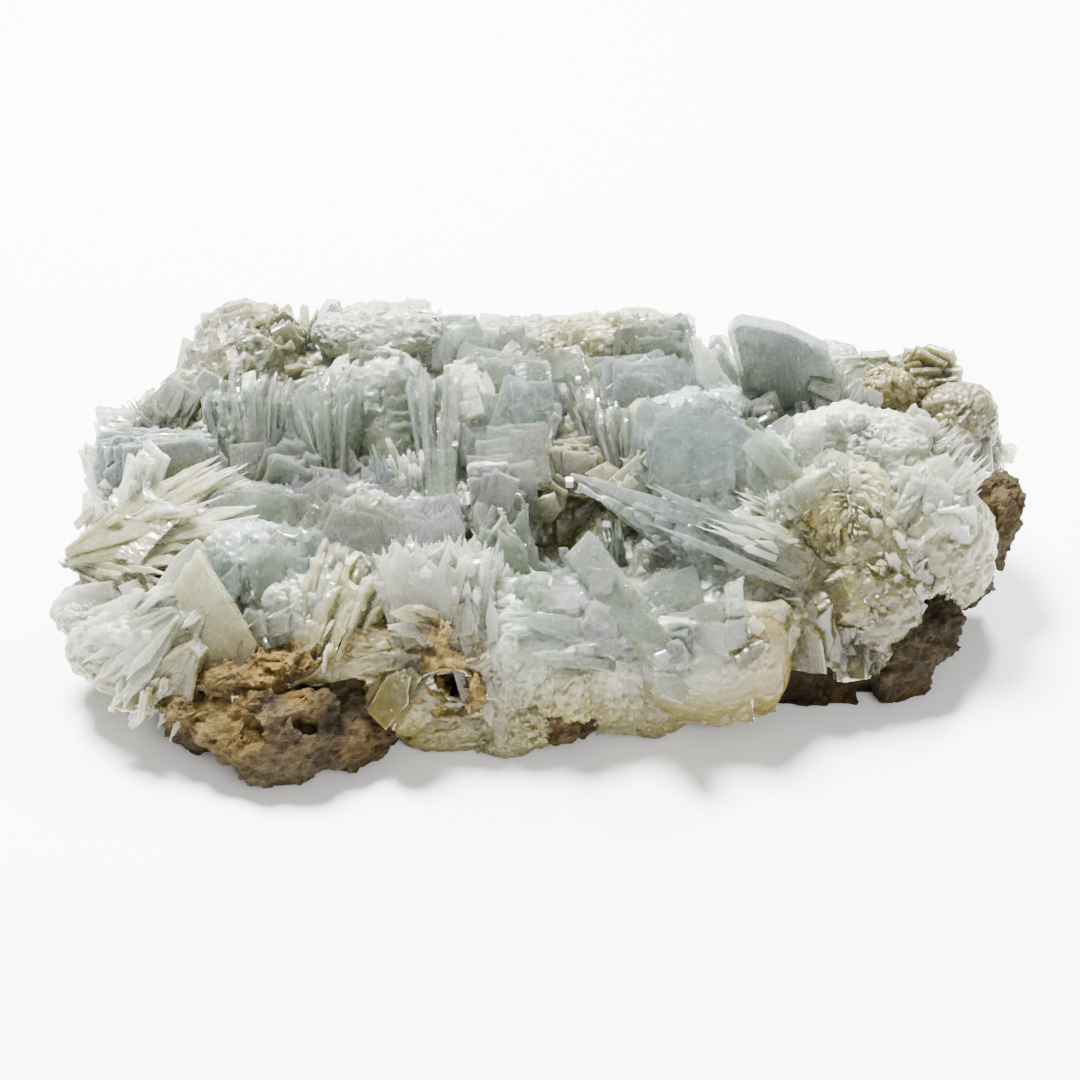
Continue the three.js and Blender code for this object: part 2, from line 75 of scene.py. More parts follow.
BASE_GAP = 0.3  # least height of their other vertices
GROUND_COUNT = 4400  # places tried for the plates of the ground between the books
GROUND_LOWEST = 3.0  # height above the base where they end
STEEPEST_DOWN = -0.5  # least upward share of the surface's normal where they grow
NARROW_BOOKS = ("spear", "quill", "comb", "chisel")  # outlines of the books that have narrow ground by them
NARROW_GROUND = (("spear", "chisel"), (0.8, 2.4))  # outlines of its plates, and their least and most width
BROAD_GROUND = (("rhomb", "chisel", "square"), (2, 7))
BARITE_IOR = 1.636
DULL_IOR = 1.45  # of the rock and of the studio's floor

# Outlines of one plate, across its width (-0.5 to 0.5) and along its length (0 to 1)
OUTLINES = {
    "square": ((-0.5, 0), (0.5, 0), (0.5, 0.93), (0.43, 1), (-0.5, 0.96)),
    "rhomb": ((-0.36, 0), (0.36, 0), (0.5, 0.55), (0.04, 1), (-0.5, 0.62)),
    "quill": ((-0.1, 0), (0.1, 0), (0.5, 0.62), (0.08, 1), (-0.4, 0.8)),
    "strip": ((-0.5, 0), (0.5, 0), (0.5, 0.975), (-0.5, 1)),
    "spear": ((-0.3, 0), (0.3, 0), (0.5, 0.3), (0.03, 1), (-0.42, 0.5)),
    "chisel": ((-0.5, 0), (0.5, 0), (0.5, 0.86), (0.1, 1), (-0.5, 0.9)),
    "round": ((-0.32, 0), (0.32, 0), (0.48, 0.35), (0.46, 0.7), (0.24, 0.94), (-0.18, 1), (-0.46, 0.72),
              (-0.48, 0.35)),
    "comb": ((-0.4, 0), (0.4, 0), (0.5, 0.82), (0.28, 0.98), (0.2, 0.84), (-0.06, 1), (-0.26, 0.84),
             (-0.5, 0.9)),
    "slab": ((-0.42, 0), (0.5, 0), (0.5, 0.62), (0.1, 0.87), (-0.32, 1), (-0.42, 0.985), (-0.5, 0.9)),
    "slab_low": ((-0.46, 0), (0.5, 0), (0.4, 1), (-0.4, 0.97), (-0.5, 0.8)),
}

# Tints as sRGB: the plate's body, and its tip
TINTS = {
    "white": ("d6ddd0", "f2f4ea"),
    "cream": ("b8b893", "dddcbc"),
    "mint": ("c4d5cb", "e4efe8"),
    "grey": ("b4c0b6", "d2dcd4"),
    "blue": ("aabdc1", "ccdadd"),
    "lilac": ("b8bdc3", "d6dadf"),
    "tan": ("aa9a64", "cfc096"),
    "beige": ("96957c", "b8b79f"),
    "slate": ("87959a", "a4afb1"),
    "glass": ("93a39e", "c6d1cc"),
}
CLEAR_TINTS = ("blue", "grey", "lilac", "mint", "glass")
STAINED_TINTS = ("tan", "beige", "cream")
MILKY_LOOK, CLEAR_LOOK, GRANULAR_LOOK = range(3)  # the material slots of a piece of plates
ROOT_STAIN_AND_SHADE = "838044"  # olive brown towards the plates' roots: iron stain, and painted shade where they lie deep between the plates
# painted shade: olive laid into the hollows between the crystals, darker the deeper they lie
HOLLOW_PAINTED_SHADE = "78763f"
# painted highlight: white laid along the plates' rims, strongest towards their tips
PAINTED_EDGE_HIGHLIGHT = "f2f4ef"
BASE_STAIN = "8a7c28"
BASE_STAIN_TOP = 25.0  # height where the stain of the base has faded out
HOLLOW_START = 2.5  # depth below the crystals around where the painted shade of the hollows sets in
HOLLOW_DEPTH = 10.0  # and over which it grows to its full strength
BASE_SHARE, HOLLOW_SHARE, ROOT_SHARE = 0.7, 0.45, 0.5  # strengths of the base's stain, the painted shade of the hollows, and the roots' stain and painted shade
ROOT_END = 0.3  # share of a plate's length where the root's stain and painted shade have faded out
TIP_POWER = 1.6  # of the rise along a plate, by which its tint turns to the tip's
GRAIN_UNIT = 10.0  # to one unit of the grain's UV
EDGE_SHARE, STAINED_EDGE_SHARE = 0.65, 0.2  # of the painted highlight on a plate's rim, and on a stained plate's
SHADE_SHARE = 0.04  # by which one plate is lighter or darker than the next
ROCK_BROWN = "2b220f"
OCHRE_BROWN = "584a28"

# Books of plates: (name, outline, tint, root, tip, facing, width, depth of the book, fan, splay)
# Root and tip are (right, down, height): view units, and millimetres above the base. Fan opens the
# tips across the book, and splay turns the plates in their own plane, in degrees. Both are 0 where
# they are left out, and a book with neither is a single crystal.
BACK_LEFT = [
    ("hump_left_block", "rhomb", "beige", (192, 418, 33), (216, 358, 43.5), (-0.5, -0.6, 0.6), 12, 5, 6, 4),
    ("hump_left_low", "square", "grey", (152, 432, 34), (180, 374, 42), (-0.5, -0.6, 0.6), 10, 5, 8, 4),
    ("hump_right_shoulder", "rhomb", "beige", (285, 350, 41), (284, 308, 50), (0.4, -0.7, 0.6), 10, 6, 10, 4),
    ("upright_needle", "chisel", "blue", (256, 374, 37), (250, 339, 47), (-0.3, -0.9, 0.2), 1.8, 1.6),
    ("left_cockscomb", "chisel", "mint", (256, 452, 35), (250, 367, 50), (1, -0.15, 0), 11, 13, 30),
    ("fibrous_comb", "chisel", "mint", (330, 457, 36), (314, 374, 50), (0.9, -0.35, 0.1), 10, 11, 26),
]
MIDDLE = [
    ("beige_dome_plates", "rhomb", "grey", (392, 447, 35), (398, 344, 48), (0.2, -0.66, 0.75), 16, 6, 8, 8),
    ("white_spear_bundle", "chisel", "mint", (440, 497, 33), (436, 366, 50), (1, -0.1, 0), 9, 6, 12),
    ("square_tier_low", "square", "grey", (505, 475, 35), (500, 412, 43.5), (0, -0.6, 0.8), 19, 6, 6, 8),
    ("square_tier_middle", "square", "blue", (522, 430, 40), (520, 377, 47), (0.15, -0.6, 0.8), 17, 5, 6, 8),
    ("square_tier_upper", "square", "grey", (488, 392, 43), (494, 346, 49.5), (-0.1, -0.6, 0.8), 16, 5, 6, 8),
    ("mirror_plate", "square", "white", (470, 408, 44), (463, 357, 50), (-0.05, -0.55, 0.83), 9, 3, 4),
    ("rim_crest_left", "comb", "white", (383, 346, 43), (380, 299, 51), (0, -0.7, 0.7), 22, 7, 10, 14),
    ("rim_blue_blade", "chisel", "blue", (318, 328, 45), (338, 300, 51), (-0.3, -0.8, 0.5), 3.5, 2.5),
    ("rim_blue_blocks", "rhomb", "grey", (458, 360, 42), (462, 311, 49), (0.2, -0.7, 0.7), 12, 6, 8, 8),
    ("rim_slope_block", "rhomb", "grey", (505, 360, 42), (497, 322, 47), (0.25, -0.7, 0.65), 9, 6, 8),
    ("rim_cream_crest", "comb", "cream", (575, 352, 41), (572, 314, 48), (0, -0.6, 0.8), 12, 6, 12, 8),
    ("rim_crest_right", "comb", "grey", (648, 352, 43), (652, 314, 50), (0, -0.7, 0.7), 18, 7, 12, 12),
    ("rim_grey_plate", "rhomb", "grey", (722, 392, 41), (722, 344, 49), (0.1, -0.7, 0.7), 9, 4),
    ("rim_blue_plate", "square", "blue", (675, 342, 45), (668, 322, 50), (0.1, -0.6, 0.8), 8, 2.5),
    ("back_grey_block", "square", "grey", (562, 405, 39), (548, 347, 46), (0, -0.7, 0.7), 15, 6, 6),
    ("bluegrey_fan", "rhomb", "blue", (650, 422, 37), (640, 350, 48), (0, -0.75, 0.66), 22, 7, 10, 12),
    ("bright_edge_slab", "spear", "white", (722, 402, 42), (692, 336, 52), (0.35, -0.45, 0.8), 7, 3),
    ("big_clear_face", "rhomb", "blue", (700, 487, 35), (692, 388, 46), (0.1, -0.75, 0.65), 26, 7, 8, 8),
    ("slender_blades_left", "chisel", "grey", (598, 442, 37), (580, 378, 48), (0.95, -0.25, 0.1), 7, 4, 12),
    ("slender_blades_right", "chisel", "grey", (622, 472, 35), (607, 403, 47), (0.95, -0.25, 0.1), 7, 4, 12),
    ("slot_blade", "chisel", "cream", (640, 470, 35), (640, 398, 46), (0.8, -0.5, 0.2), 6, 3),
    ("beige_square_plates", "square", "beige", (560, 478, 33), (562, 436, 41), (0, -0.6, 0.8), 15, 5, 8, 6),
    ("beige_plate", "rhomb", "beige", (645, 500, 33), (618, 452, 41), (0.1, -0.6, 0.8), 15, 4, 8),
    ("blue_white_wing", "rhomb", "mint", (792, 502, 37), (765, 420, 47), (-0.4, -0.65, 0.6), 12, 7, 16, 10),
    ("wing_blade", "spear", "cream", (778, 516, 35), (734, 492, 39), (-0.2, -0.5, 0.8), 5, 3, 14),
    ("ledge_plate", "square", "grey", (770, 428, 39), (762, 402, 45), (0, -0.6, 0.8), 8, 4, 6),
]
BACK_RIGHT = [
    ("tall_tabular_crystal", "slab", "slate", (788, 402, 41), (774, 313, 61), (-0.15, -0.85, 0.5), 19, 5),
    ("pale_crust_block", "square", "grey", (826, 414, 39), (822, 352, 47), (0.1, -0.7, 0.7), 11, 6, 10, 8),
    ("blue_glint_blades", "spear", "blue", (850, 414, 41), (864, 379, 48), (-0.4, -0.7, 0.5), 6, 4, 14),
    ("knob_plate", "square", "white", (945, 442, 33), (940, 398, 42), (-0.2, -0.7, 0.7), 7, 3),
]
ROSETTE = [
    ("grey_upright_plate", "square", "white", (947, 508, 35), (938, 455, 44), (-0.1, -0.9, 0.4), 4.5, 2.5),
    ("right_white_blades", "spear", "white", (930, 512, 33), (985, 452, 42), (0.5, -0.5, 0.7), 9, 8, 20, 12),
    ("right_blades_upper", "spear", "white", (930, 458, 37), (962, 428, 44), (0.3, -0.6, 0.7), 6, 6, 20),
    ("right_blades_back", "comb", "white", (903, 452, 39), (930, 418, 46), (0.2, -0.8, 0.5), 6, 5, 16),
    ("rosette_grey_plate", "rhomb", "grey", (806, 655, 15), (800, 583, 29), (-0.4, -0.85, 0.4), 11, 4, 6, 4),
    ("lens_blade", "spear", "cream", (852, 550, 30), (817, 516, 38), (-0.1, -0.6, 0.8), 4, 2.5),
]
SPEARS = [
    ("great_spear", "spear", "glass", (768, 584, 28), (569, 476, 42.5), (-0.25, -0.85, 0.45), 10, 4),
    ("spear_silver_edge", "spear", "lilac", (690, 520, 38), (571, 475, 43), (0, -0.45, 0.9), 4, 2.5),
    ("spear_upper", "spear", "glass", (792, 568, 31), (640, 492, 40.5), (-0.2, -0.6, 0.75), 11, 5, 6, 4),
    ("spear_crest", "spear", "white", (778, 545, 34), (690, 512, 39), (-0.2, -0.6, 0.75), 8, 4, 10),
    ("spear_lower", "spear", "glass", (752, 608, 23), (640, 545, 31.5), (-0.2, -0.8, 0.55), 8, 4, 6, 4),
    ("cavity_upright_blades", "spear", "blue", (613, 582, 21), (604, 514, 34), (0.4, -0.8, 0.3), 6, 4, 24),
    ("long_clear_blade", "square", "grey", (655, 648, 25), (577, 541, 36), (-0.2, -0.6, 0.75), 7, 2.5),
    ("foil_square", "square", "lilac", (562, 630, 24), (566, 585, 33), (0, -0.6, 0.8), 5.6, 2.5),
    ("foil_side_plate", "rhomb", "mint", (535, 627, 24), (532, 575, 33), (-0.1, -0.7, 0.7), 7, 3, 6, 6),
    ("cavity_low_blades", "spear", "blue", (572, 590, 24), (545, 552, 31), (-0.2, -0.6, 0.75), 5, 4, 14),
    ("lilac_blade", "rhomb", "lilac", (602, 642, 24), (593, 600, 32), (-0.1, -0.7, 0.7), 7, 3),
    ("pocket_grey_plate", "rhomb", "grey", (680, 628, 23), (650, 563, 30), (0, -0.5, 0.85), 16, 4, 6),
]
FRONT_RIGHT = [
    ("fin_blade", "square", "glass", (738, 650, 23), (733, 582, 37), (0.3, -0.9, 0.25), 3.2, 2),
    ("stepped_tops", "strip", "grey", (706, 650, 21.5), (697, 608, 29.5), (-0.2, -0.85, 0.45), 12, 4, 26, 10),
    ("stepped_corner", "strip", "grey", (668, 664, 19.5), (662, 626, 27), (-0.35, -0.8, 0.45), 7, 3, 20, 8),
    ("yellow_tops", "strip", "cream", (762, 645, 21), (757, 603, 29), (0.3, -0.85, 0.4), 8, 4, 30, 8),
]
CENTRE = [
    ("lilac_squares", "square", "lilac", (490, 522, 31), (488, 457, 43), (-0.1, -0.7, 0.7), 10, 5, 6, 6),
    ("clear_square", "square", "grey", (522, 507, 32), (520, 462, 41), (0.1, -0.7, 0.7), 6, 3),
    ("grey_cavity_plates", "rhomb", "grey", (506, 578, 25), (500, 505, 38), (0.25, -0.8, 0.55), 11, 6, 10, 6),
    ("grey_wedge", "rhomb", "grey", (470, 472, 35), (460, 421, 44), (0.3, -0.8, 0.5), 7, 3),
    ("lilac_shelf", "rhomb", "lilac", (368, 562, 29), (358, 481, 40), (0, -0.65, 0.75), 22, 6, 8, 12),
    ("lilac_shelf_right", "rhomb", "lilac", (425, 560, 29), (425, 495, 38), (0.05, -0.65, 0.75), 16, 5, 8),
    ("blue_blades", "spear", "blue", (392, 497, 33), (372, 440, 44), (0.35, -0.85, 0.4), 6, 4, 16),
    ("white_needles", "spear", "white", (414, 492, 33), (405, 450, 43), (0.9, -0.4, 0.1), 4, 5, 20),
    ("grey_blocks", "square", "grey", (288, 487, 33), (300, 440, 42), (0.2, -0.7, 0.7), 12, 5, 8),
    ("cream_comb", "comb", "cream", (335, 642, 23), (362, 547, 37), (0.85, -0.45, 0.2), 10, 9, 20),
    ("white_comb", "comb", "white", (440, 627, 25), (436, 532, 40), (-0.1, -0.9, 0.4), 20, 8, 18, 22),
    ("comb_point", "spear", "white", (487, 602, 25), (501, 539, 39), (0.5, -0.8, 0.3), 7, 4, 10),
]
LEFT = [
    ("wide_blue_slab", "slab_low", "slate", (172, 492, 30), (170, 429, 41), (0, -0.55, 0.83), 28, 5, 4),
    ("slab_neighbour", "square", "grey", (265, 487, 32), (262, 440, 40), (0.1, -0.6, 0.8), 13, 4),
    ("white_blade_bundle", "square", "white", (132, 502, 33), (150, 449, 44), (-0.5, -0.6, 0.6), 7, 4, 10),
    ("rim_clear_blades", "spear", "grey", (157, 432, 35), (135, 398, 43), (0.7, -0.5, 0.5), 7, 6, 20),
    ("left_corner_plate", "rhomb", "white", (116, 448, 33), (110, 413, 41), (-0.3, -0.6, 0.7), 9, 4, 8),
    ("left_rim_plate", "rhomb", "white", (104, 484, 27), (92, 440, 36), (-0.6, -0.6, 0.5), 9, 5, 10),
    ("spray_top", "quill", "cream", (84, 555, 27), (258, 488, 37.5), (0.1, -0.4, 0.9), 13, 5, 5, 18),
    ("spray_middle", "quill", "cream", (84, 560, 26), (206, 532, 31.5), (0.1, -0.4, 0.9), 9, 4, 5, 16),
    ("spray_low", "quill", "cream", (84, 566, 25), (178, 594, 26), (-0.1, -0.75, 0.65), 8, 4, 5, 18),
    ("crest_plates", "comb", "mint", (255, 523, 31), (256, 480, 38), (0, -0.55, 0.83), 20, 5, 8, 10),
    ("crest_right", "rhomb", "lilac", (325, 512, 32), (338, 468, 39), (0, -0.55, 0.83), 15, 4, 8),
    ("crest_left", "rhomb", "white", (175, 530, 30), (174, 492, 37.5), (0, -0.4, 0.9), 12, 4, 6, 6),
    ("small_upright_blade", "chisel", "blue", (223, 532, 29), (218, 489, 38), (0.2, -0.9, 0.3), 3.5, 2.2),
    ("blue_white_block", "rhomb", "blue", (212, 607, 25), (224, 530, 36), (-0.1, -0.7, 0.7), 11, 6, 10, 10),
    ("grey_column", "square", "grey", (244, 612, 23), (240, 545, 35), (0.8, -0.6, 0.1), 6, 4, 12),
    ("mint_jagged_plate", "comb", "mint", (286, 592, 27), (280, 520, 38), (0.1, -0.75, 0.65), 13, 6, 10, 12),
    ("blue_upright_blade", "chisel", "blue", (316, 592, 27), (312, 529, 38), (0.3, -0.9, 0.3), 4.5, 2.2),
    ("layered_ledges", "square", "grey", (252, 627, 21), (326, 588, 30), (0, -0.5, 0.87), 11, 8, 14),
    ("pale_round_blade", "round", "mint", (331, 612, 25), (338, 551, 36), (0.2, -0.9, 0.4), 4, 2.5),
    ("grey_cream_face", "spear", "cream", (212, 676, 17), (195, 550, 36.5), (-0.2, -0.75, 0.6), 20, 4),
    ("white_edge_spear", "spear", "white", (192, 556, 33), (141, 613, 23), (-0.3, -0.6, 0.7), 4.5, 2.5),
    ("glitter_crust", "rhomb", "white", (112, 602, 22), (62, 627, 15), (-0.3, -0.8, 0.5), 10, 6, 20, 20),
    ("white_fan_left", "quill", "white", (170, 622, 26), (96, 684, 14), (-0.35, -0.7, 0.6), 14, 5, 10, 30),
    ("white_fan_low", "quill", "cream", (190, 656, 22), (142, 714, 8), (-0.2, -0.8, 0.55), 13, 5, 10, 28),
    ("white_fan_back", "quill", "white", (146, 606, 27), (88, 644, 18), (-0.4, -0.7, 0.6), 11, 4, 10, 20),
]
FRONT = [
    ("arch_blades", "spear", "tan", (434, 634, 25.5), (430, 605, 31.5), (0, -0.6, 0.8), 8, 3, 16, 60),
    ("arch_left_blades", "spear", "cream", (424, 626, 28), (397, 622, 29.5), (0, -0.6, 0.8), 4, 3, 16, 20),
    ("drape_rope", "chisel", "tan", (460, 618, 29), (490, 724, 8), (0.3, -0.9, 0.2), 2.6, 3),
    ("drape_rope_left", "chisel", "cream", (444, 622, 28), (470, 712, 11), (0.1, -0.9, 0.3), 1.8, 2.5),
    ("glass_plate", "rhomb", "glass", (384, 706, 14.5), (412, 660, 23), (-0.3, -0.7, 0.65), 8, 3, 6),
    ("diagonal_white_blade", "chisel", "white", (528, 718, 7), (574, 646, 25), (0.2, -0.9, 0.35), 2.8, 2.5),
    ("mint_shelf", "spear", "mint", (592, 642, 23), (490, 621, 28), (0, -0.55, 0.83), 9, 5, 10),
    ("mint_shelf_low", "spear", "grey", (600, 662, 20), (520, 648, 22.5), (0, -0.55, 0.83), 6, 4, 10),
]

# Rounded masses of fine crystals:
# (name, tint, place of the surface in the view, radii in millimetres, folds, small plates)
LUMPS = {
    "rosette": [
        ("rosette_dome", "cream", (845, 528, 38), (13, 13, 17), 0.9, 460),
        ("rosette_right", "cream", (942, 550, 30.5), (12.5, 12, 16), 0.7, 420),
        ("rosette_upper", "white", (915, 490, 38), (10, 9, 9), 0.8, 320),
        ("rosette_low", "cream", (862, 605, 25.5), (13, 9, 12), 0.7, 320),
        ("rosette_tan", "tan", (862, 648, 16), (7, 4, 8), 0.6, 40),
        ("rosette_back", "white", (862, 442, 46), (15, 8, 7), 1, 360),
        ("rosette_wall", "grey", (785, 540, 33), (7, 8, 14), 0.8, 200),
    ],
    "back_left": [
        ("hump", "beige", (243, 342, 45.5), (11.5, 9, 9), 0.6, 120),
        ("hump_flank", "grey", (205, 395, 38.5), (9, 8, 9), 0.7, 50),
        ("comb_foot", "mint", (250, 440, 37.5), (10, 8, 8), 0.7, 60),
        ("fibrous_foot", "mint", (325, 445, 38), (11, 8, 8), 0.7, 60),
    ],
    "middle": [
        ("dome", "grey", (372, 402, 44), (12, 9, 12.5), 0.6, 40),
        ("middle_left", "grey", (508, 430, 40.5), (11, 9, 10), 0.7, 60),
        ("middle_slope", "grey", (600, 432, 39), (12, 9, 9), 0.7, 60),
        ("middle_face", "blue", (700, 432, 41), (15, 10, 11), 0.7, 80),
        ("rim_middle", "beige", (530, 345, 44.5), (12, 7, 7), 0.7, 80),
        ("rim_left", "grey", (376, 330, 50.5), (14, 6, 6), 0.7, 120),
        ("rim_right", "cream", (635, 337, 47), (13, 6, 6), 0.7, 120),
    ],
    "back_right": [
        ("knobs", "beige", (922, 384, 41.5), (8.5, 7, 7.5), 0.8, 160),
        ("olive_dome", "beige", (964, 424, 39), (8.5, 8.5, 9.5), 0.6, 30),
        ("amber_lump", "tan", (887, 395, 43), (6, 5, 8), 0.7, 60),
        ("pale_crust", "grey", (828, 376, 44.5), (9, 7, 8), 0.8, 150),
    ],
    "left": [
        ("glitter", "white", (90, 610, 22.5), (8, 7, 6), 0.9, 120),
        ("spray_foot", "cream", (118, 548, 29), (8, 6, 4), 0.6, 20),
        ("spray_body", "cream", (172, 524, 32.5), (12, 6, 5), 0.6, 30),
        ("spray_crest", "cream", (232, 508, 34.5), (11, 6, 5), 0.6, 30),
        ("fan", "white", (140, 652, 21.5), (15, 8, 11), 0.8, 120),
        ("block_body", "blue", (250, 562, 33), (11, 8, 9), 0.7, 80),
        ("ledge_body", "grey", (305, 600, 29.5), (11, 7, 7), 0.7, 70),
        ("slab_foot", "cream", (170, 490, 31.5), (14, 6, 6), 0.8, 60),
    ],
    "front_right": [
        ("curved_body", "grey", (706, 668, 20.5), (15, 8, 12.5), 0.3, 0),
        ("yellow_body", "tan", (758, 662, 20.5), (7.5, 8, 13.5), 0.3, 0),
        ("front_body", "white", (610, 684, 16), (9, 6, 11.5), 0.8, 20),
        ("front_foot", "grey", (652, 704, 9.5), (9, 6, 8), 0.6, 20),
        ("shelf_front", "grey", (535, 645, 23.5), (10, 6, 7), 0.7, 60),
    ],
    "centre": [
        ("shelf_body", "lilac", (368, 525, 34), (14, 9, 8), 0.8, 90),
        ("shelf_right", "grey", (438, 512, 34), (11, 8, 8), 0.8, 60),
        ("comb_body", "white", (438, 592, 31), (12, 7, 9), 0.6, 60),
    ],
    "front": [
        ("yellow_body_left", "tan", (386, 700, 14), (12, 7, 9), 0.7, 20),
        ("yellow_upper", "tan", (362, 652, 24), (10, 6, 7), 0.7, 20),
        ("yellow_body_right", "tan", (450, 728, 6.5), (11, 6, 6.5), 0.5, 20),
        ("lens_body", "grey", (508, 678, 20), (5, 5, 10), 0.5, 0),
        ("foot_body", "cream", (500, 741, 4), (7, 5, 4.5), 0.6, 20),
        ("creamy_body", "cream", (560, 688, 17), (8, 6, 10), 0.8, 20),
        ("creamy_low", "cream", (528, 722, 9), (6, 5, 6), 0.8, 20),
        ("shelf_low", "grey", (575, 655, 22.5), (9, 6, 7), 0.8, 30),
    ],
}

# Masses of the ochre crust, along the edge of the rock and over the cave:
# (place of the surface in the view, radii in millimetres, folds)
OCHRE_MASSES = [
    ((190, 706, 15.5), (8, 4, 3.5), 0.9),  # ledge left
    ((240, 682, 20.5), (10, 4.5, 3.5), 0.9),  # ledge middle
    ((288, 658, 23.5), (9, 4, 3), 0.9),  # ledge right
    ((433, 628, 28.5), (5, 3, 3), 0.6),  # arch inner
    ((449, 658, 23), (8, 4, 3), 0.9),  # cave lip
    ((474, 690, 17.5), (3, 3.5, 6), 0.8),  # cave side
]

# Places where the rock or the crust lies bare: (place in the view, radius in millimetres)
BARE = [
    ((545, 530, 24), 8), ((455, 690, 17), 6), ((815, 680, 8), 7), ((650, 562, 27), 5), ((275, 362, 44), 5),
    ((240, 700, 15), 7), ((300, 700, 13), 7), ((690, 672, 17), 9), ((758, 668, 16), 8), ((605, 690, 15), 6),
    ((58, 563, 25), 7), ((112, 548, 27), 7), ((150, 536, 30), 7), ((757, 722, 5), 6), ((400, 690, 14), 13),
    ((450, 730, 6), 9), ((480, 650, 22), 8), ((540, 690, 14), 11), ((655, 690, 13), 9), ((205, 702, 12), 6),
    ((222, 690, 17), 6), ((262, 690, 17), 7), ((300, 672, 20), 5), ((636, 708, 7), 7), ((965, 420, 38), 9),
    ((985, 400, 38), 7), ((990, 495, 33), 8), ((95, 450, 35), 6), ((905, 640, 15), 6), ((850, 690, 7), 7),
    ((887, 395, 43), 6), ((700, 705, 9), 11), ((757, 700, 9), 10), ((540, 640, 24), 8), ((612, 650, 24), 6),
]

# Caves that go into the crystals: (place in the view, radius, depth), in millimetres
CAVES = [((455, 690, 16), 5.5, 2.5), ((545, 540, 24), 6, 2), ((815, 682, 8), 5, 4), ((48, 562, 25), 4, 3)]

# The wall of the back, with root and tip in millimetres
BACK_WALL = [
    ("back_wall_1", "square", "cream", (-70, 36, 20), (-76, 40, 33), (-0.4, 0.9, 0.2), 13, 4, 12, 10),
    ("back_wall_2", "square", "grey", (-50, 43, 20), (-54, 48, 35), (-0.2, 0.9, 0.3), 16, 5, 12, 10),
    ("back_wall_3", "square", "cream", (-28, 43, 18), (-26, 48, 32), (0.2, 0.9, 0.3), 14, 4, 12, 10),
    ("back_wall_4", "square", "white", (-2, 43, 20), (-4, 48, 35), (-0.1, 0.9, 0.3), 17, 5, 12, 10),
    ("back_wall_5", "square", "grey", (24, 40, 18), (27, 45, 32), (0.2, 0.9, 0.3), 15, 4, 12, 10),
    ("back_wall_6", "square", "cream", (48, 36, 20), (46, 42, 34), (-0.2, 0.9, 0.3), 16, 5, 12, 10),
    ("back_wall_7", "square", "tan", (72, 36, 18), (78, 40, 32), (0.5, 0.8, 0.3), 13, 4, 12, 10),
    ("back_wall_8", "rhomb", "cream", (-62, 46, 29), (-62, 51, 43), (-0.2, 0.9, 0.3), 17, 6, 14, 12),
    ("back_wall_9", "square", "grey", (-34, 43, 33), (-35, 45, 47.5), (0.1, 0.9, 0.3), 21, 5, 14, 12),
    ("back_wall_10", "rhomb", "white", (-5, 45, 29), (-4, 49, 43), (-0.1, 0.9, 0.3), 20, 6, 14, 12),
    ("back_wall_11", "square", "cream", (20, 43, 30), (19, 46, 45), (0.2, 0.9, 0.3), 19, 5, 14, 12),
    ("back_wall_12", "rhomb", "grey", (57, 37, 28), (57, 41, 42), (-0.1, 0.9, 0.3), 16, 5, 14, 12),
    ("back_wall_13", "square", "beige", (76, 36, 26), (78, 41, 39), (0.3, 0.9, 0.3), 14, 5, 14, 12),
]

REGIONS = {
    "back_left": BACK_LEFT, "middle": MIDDLE, "back_right": BACK_RIGHT, "rosette": ROSETTE, "spears": SPEARS,
    "front_right": FRONT_RIGHT, "centre": CENTRE, "left": LEFT, "front": FRONT,
}

# Stained patches of the crystals, with painted shade in the cavity, the caves and the valley by the spears:
# (sRGB, place in the view, radius in millimetres, strength)
STAINS = [
    # the cavity: an olive stain, and near-black painted shade deep in it
    ("75733a", (548, 530, 24), 10, 0.9),
    ("3a3918", (545, 552, 22), 4, 0.8),
    ("807d4c", (275, 358, 45), 7, 0.8),
    ("a59a52", (252, 320, 50), 4, 0.8),
    ("8c8430", (195, 482, 33), 6, 0.6),
    ("96935e", (365, 518, 37), 8, 0.6),
    ("9c9962", (310, 505, 37), 5, 0.4),
    ("8c8230", (160, 556, 27), 7, 0.7),
    ("aa9a20", (822, 522, 37), 7, 0.85),
    ("73682a", (900, 605, 25), 16, 0.75),
    ("827522", (848, 590, 28), 11, 0.7),
    ("8e8420", (888, 385, 43), 7, 0.75),
    ("6c6428", (965, 425, 38), 11, 0.85),
    ("746c30", (925, 376, 42), 11, 0.8),
    ("807d66", (240, 336, 46), 12, 0.65),
    ("9c8a1c", (770, 690, 8), 12, 0.8),
    ("a08c20", (710, 728, 4), 13, 0.8),
    ("a28c18", (400, 705, 12), 15, 0.8),
    ("a08e24", (350, 680, 17), 9, 0.7),
    ("6f5f2a", (432, 630, 28), 5.5, 0.9),
    # painted shade: near-black in the cave at the front
    ("3d301c", (457, 686, 18), 6.5, 0.97),
    ("6b5220", (262, 674, 22), 11, 0.9),
    ("6f5826", (205, 700, 15), 8, 0.8),
    # painted shade: dark in the cave below the rosette
    ("3f3e22", (815, 682, 8), 8, 0.9),
    ("a8a54e", (640, 408, 42), 3, 0.8),
    # painted shade: olive in the valley between the spears and the face
    ("7a7848", (650, 560, 27), 5, 0.6),
    ("a08e28", (580, 725, 5), 12, 0.75),
    ("6c5e2e", (480, 690, 16), 6, 0.85),
    ("746c48", (862, 645, 17), 7, 0.85),
    ("a3a07a", (600, 335, 47), 10, 0.4),
    ("8a8768", (560, 460, 38), 8, 0.5),
    ("aebcc4", (700, 375, 47), 9, 0.5),
    ("b9c6cc", (475, 335, 47), 8, 0.5),
    ("a4901c", (775, 655, 20), 12, 0.75),
    ("aeb9bb", (690, 640, 25), 8, 0.5),
    ("b3bfc8", (690, 520, 38), 7, 0.4),
]
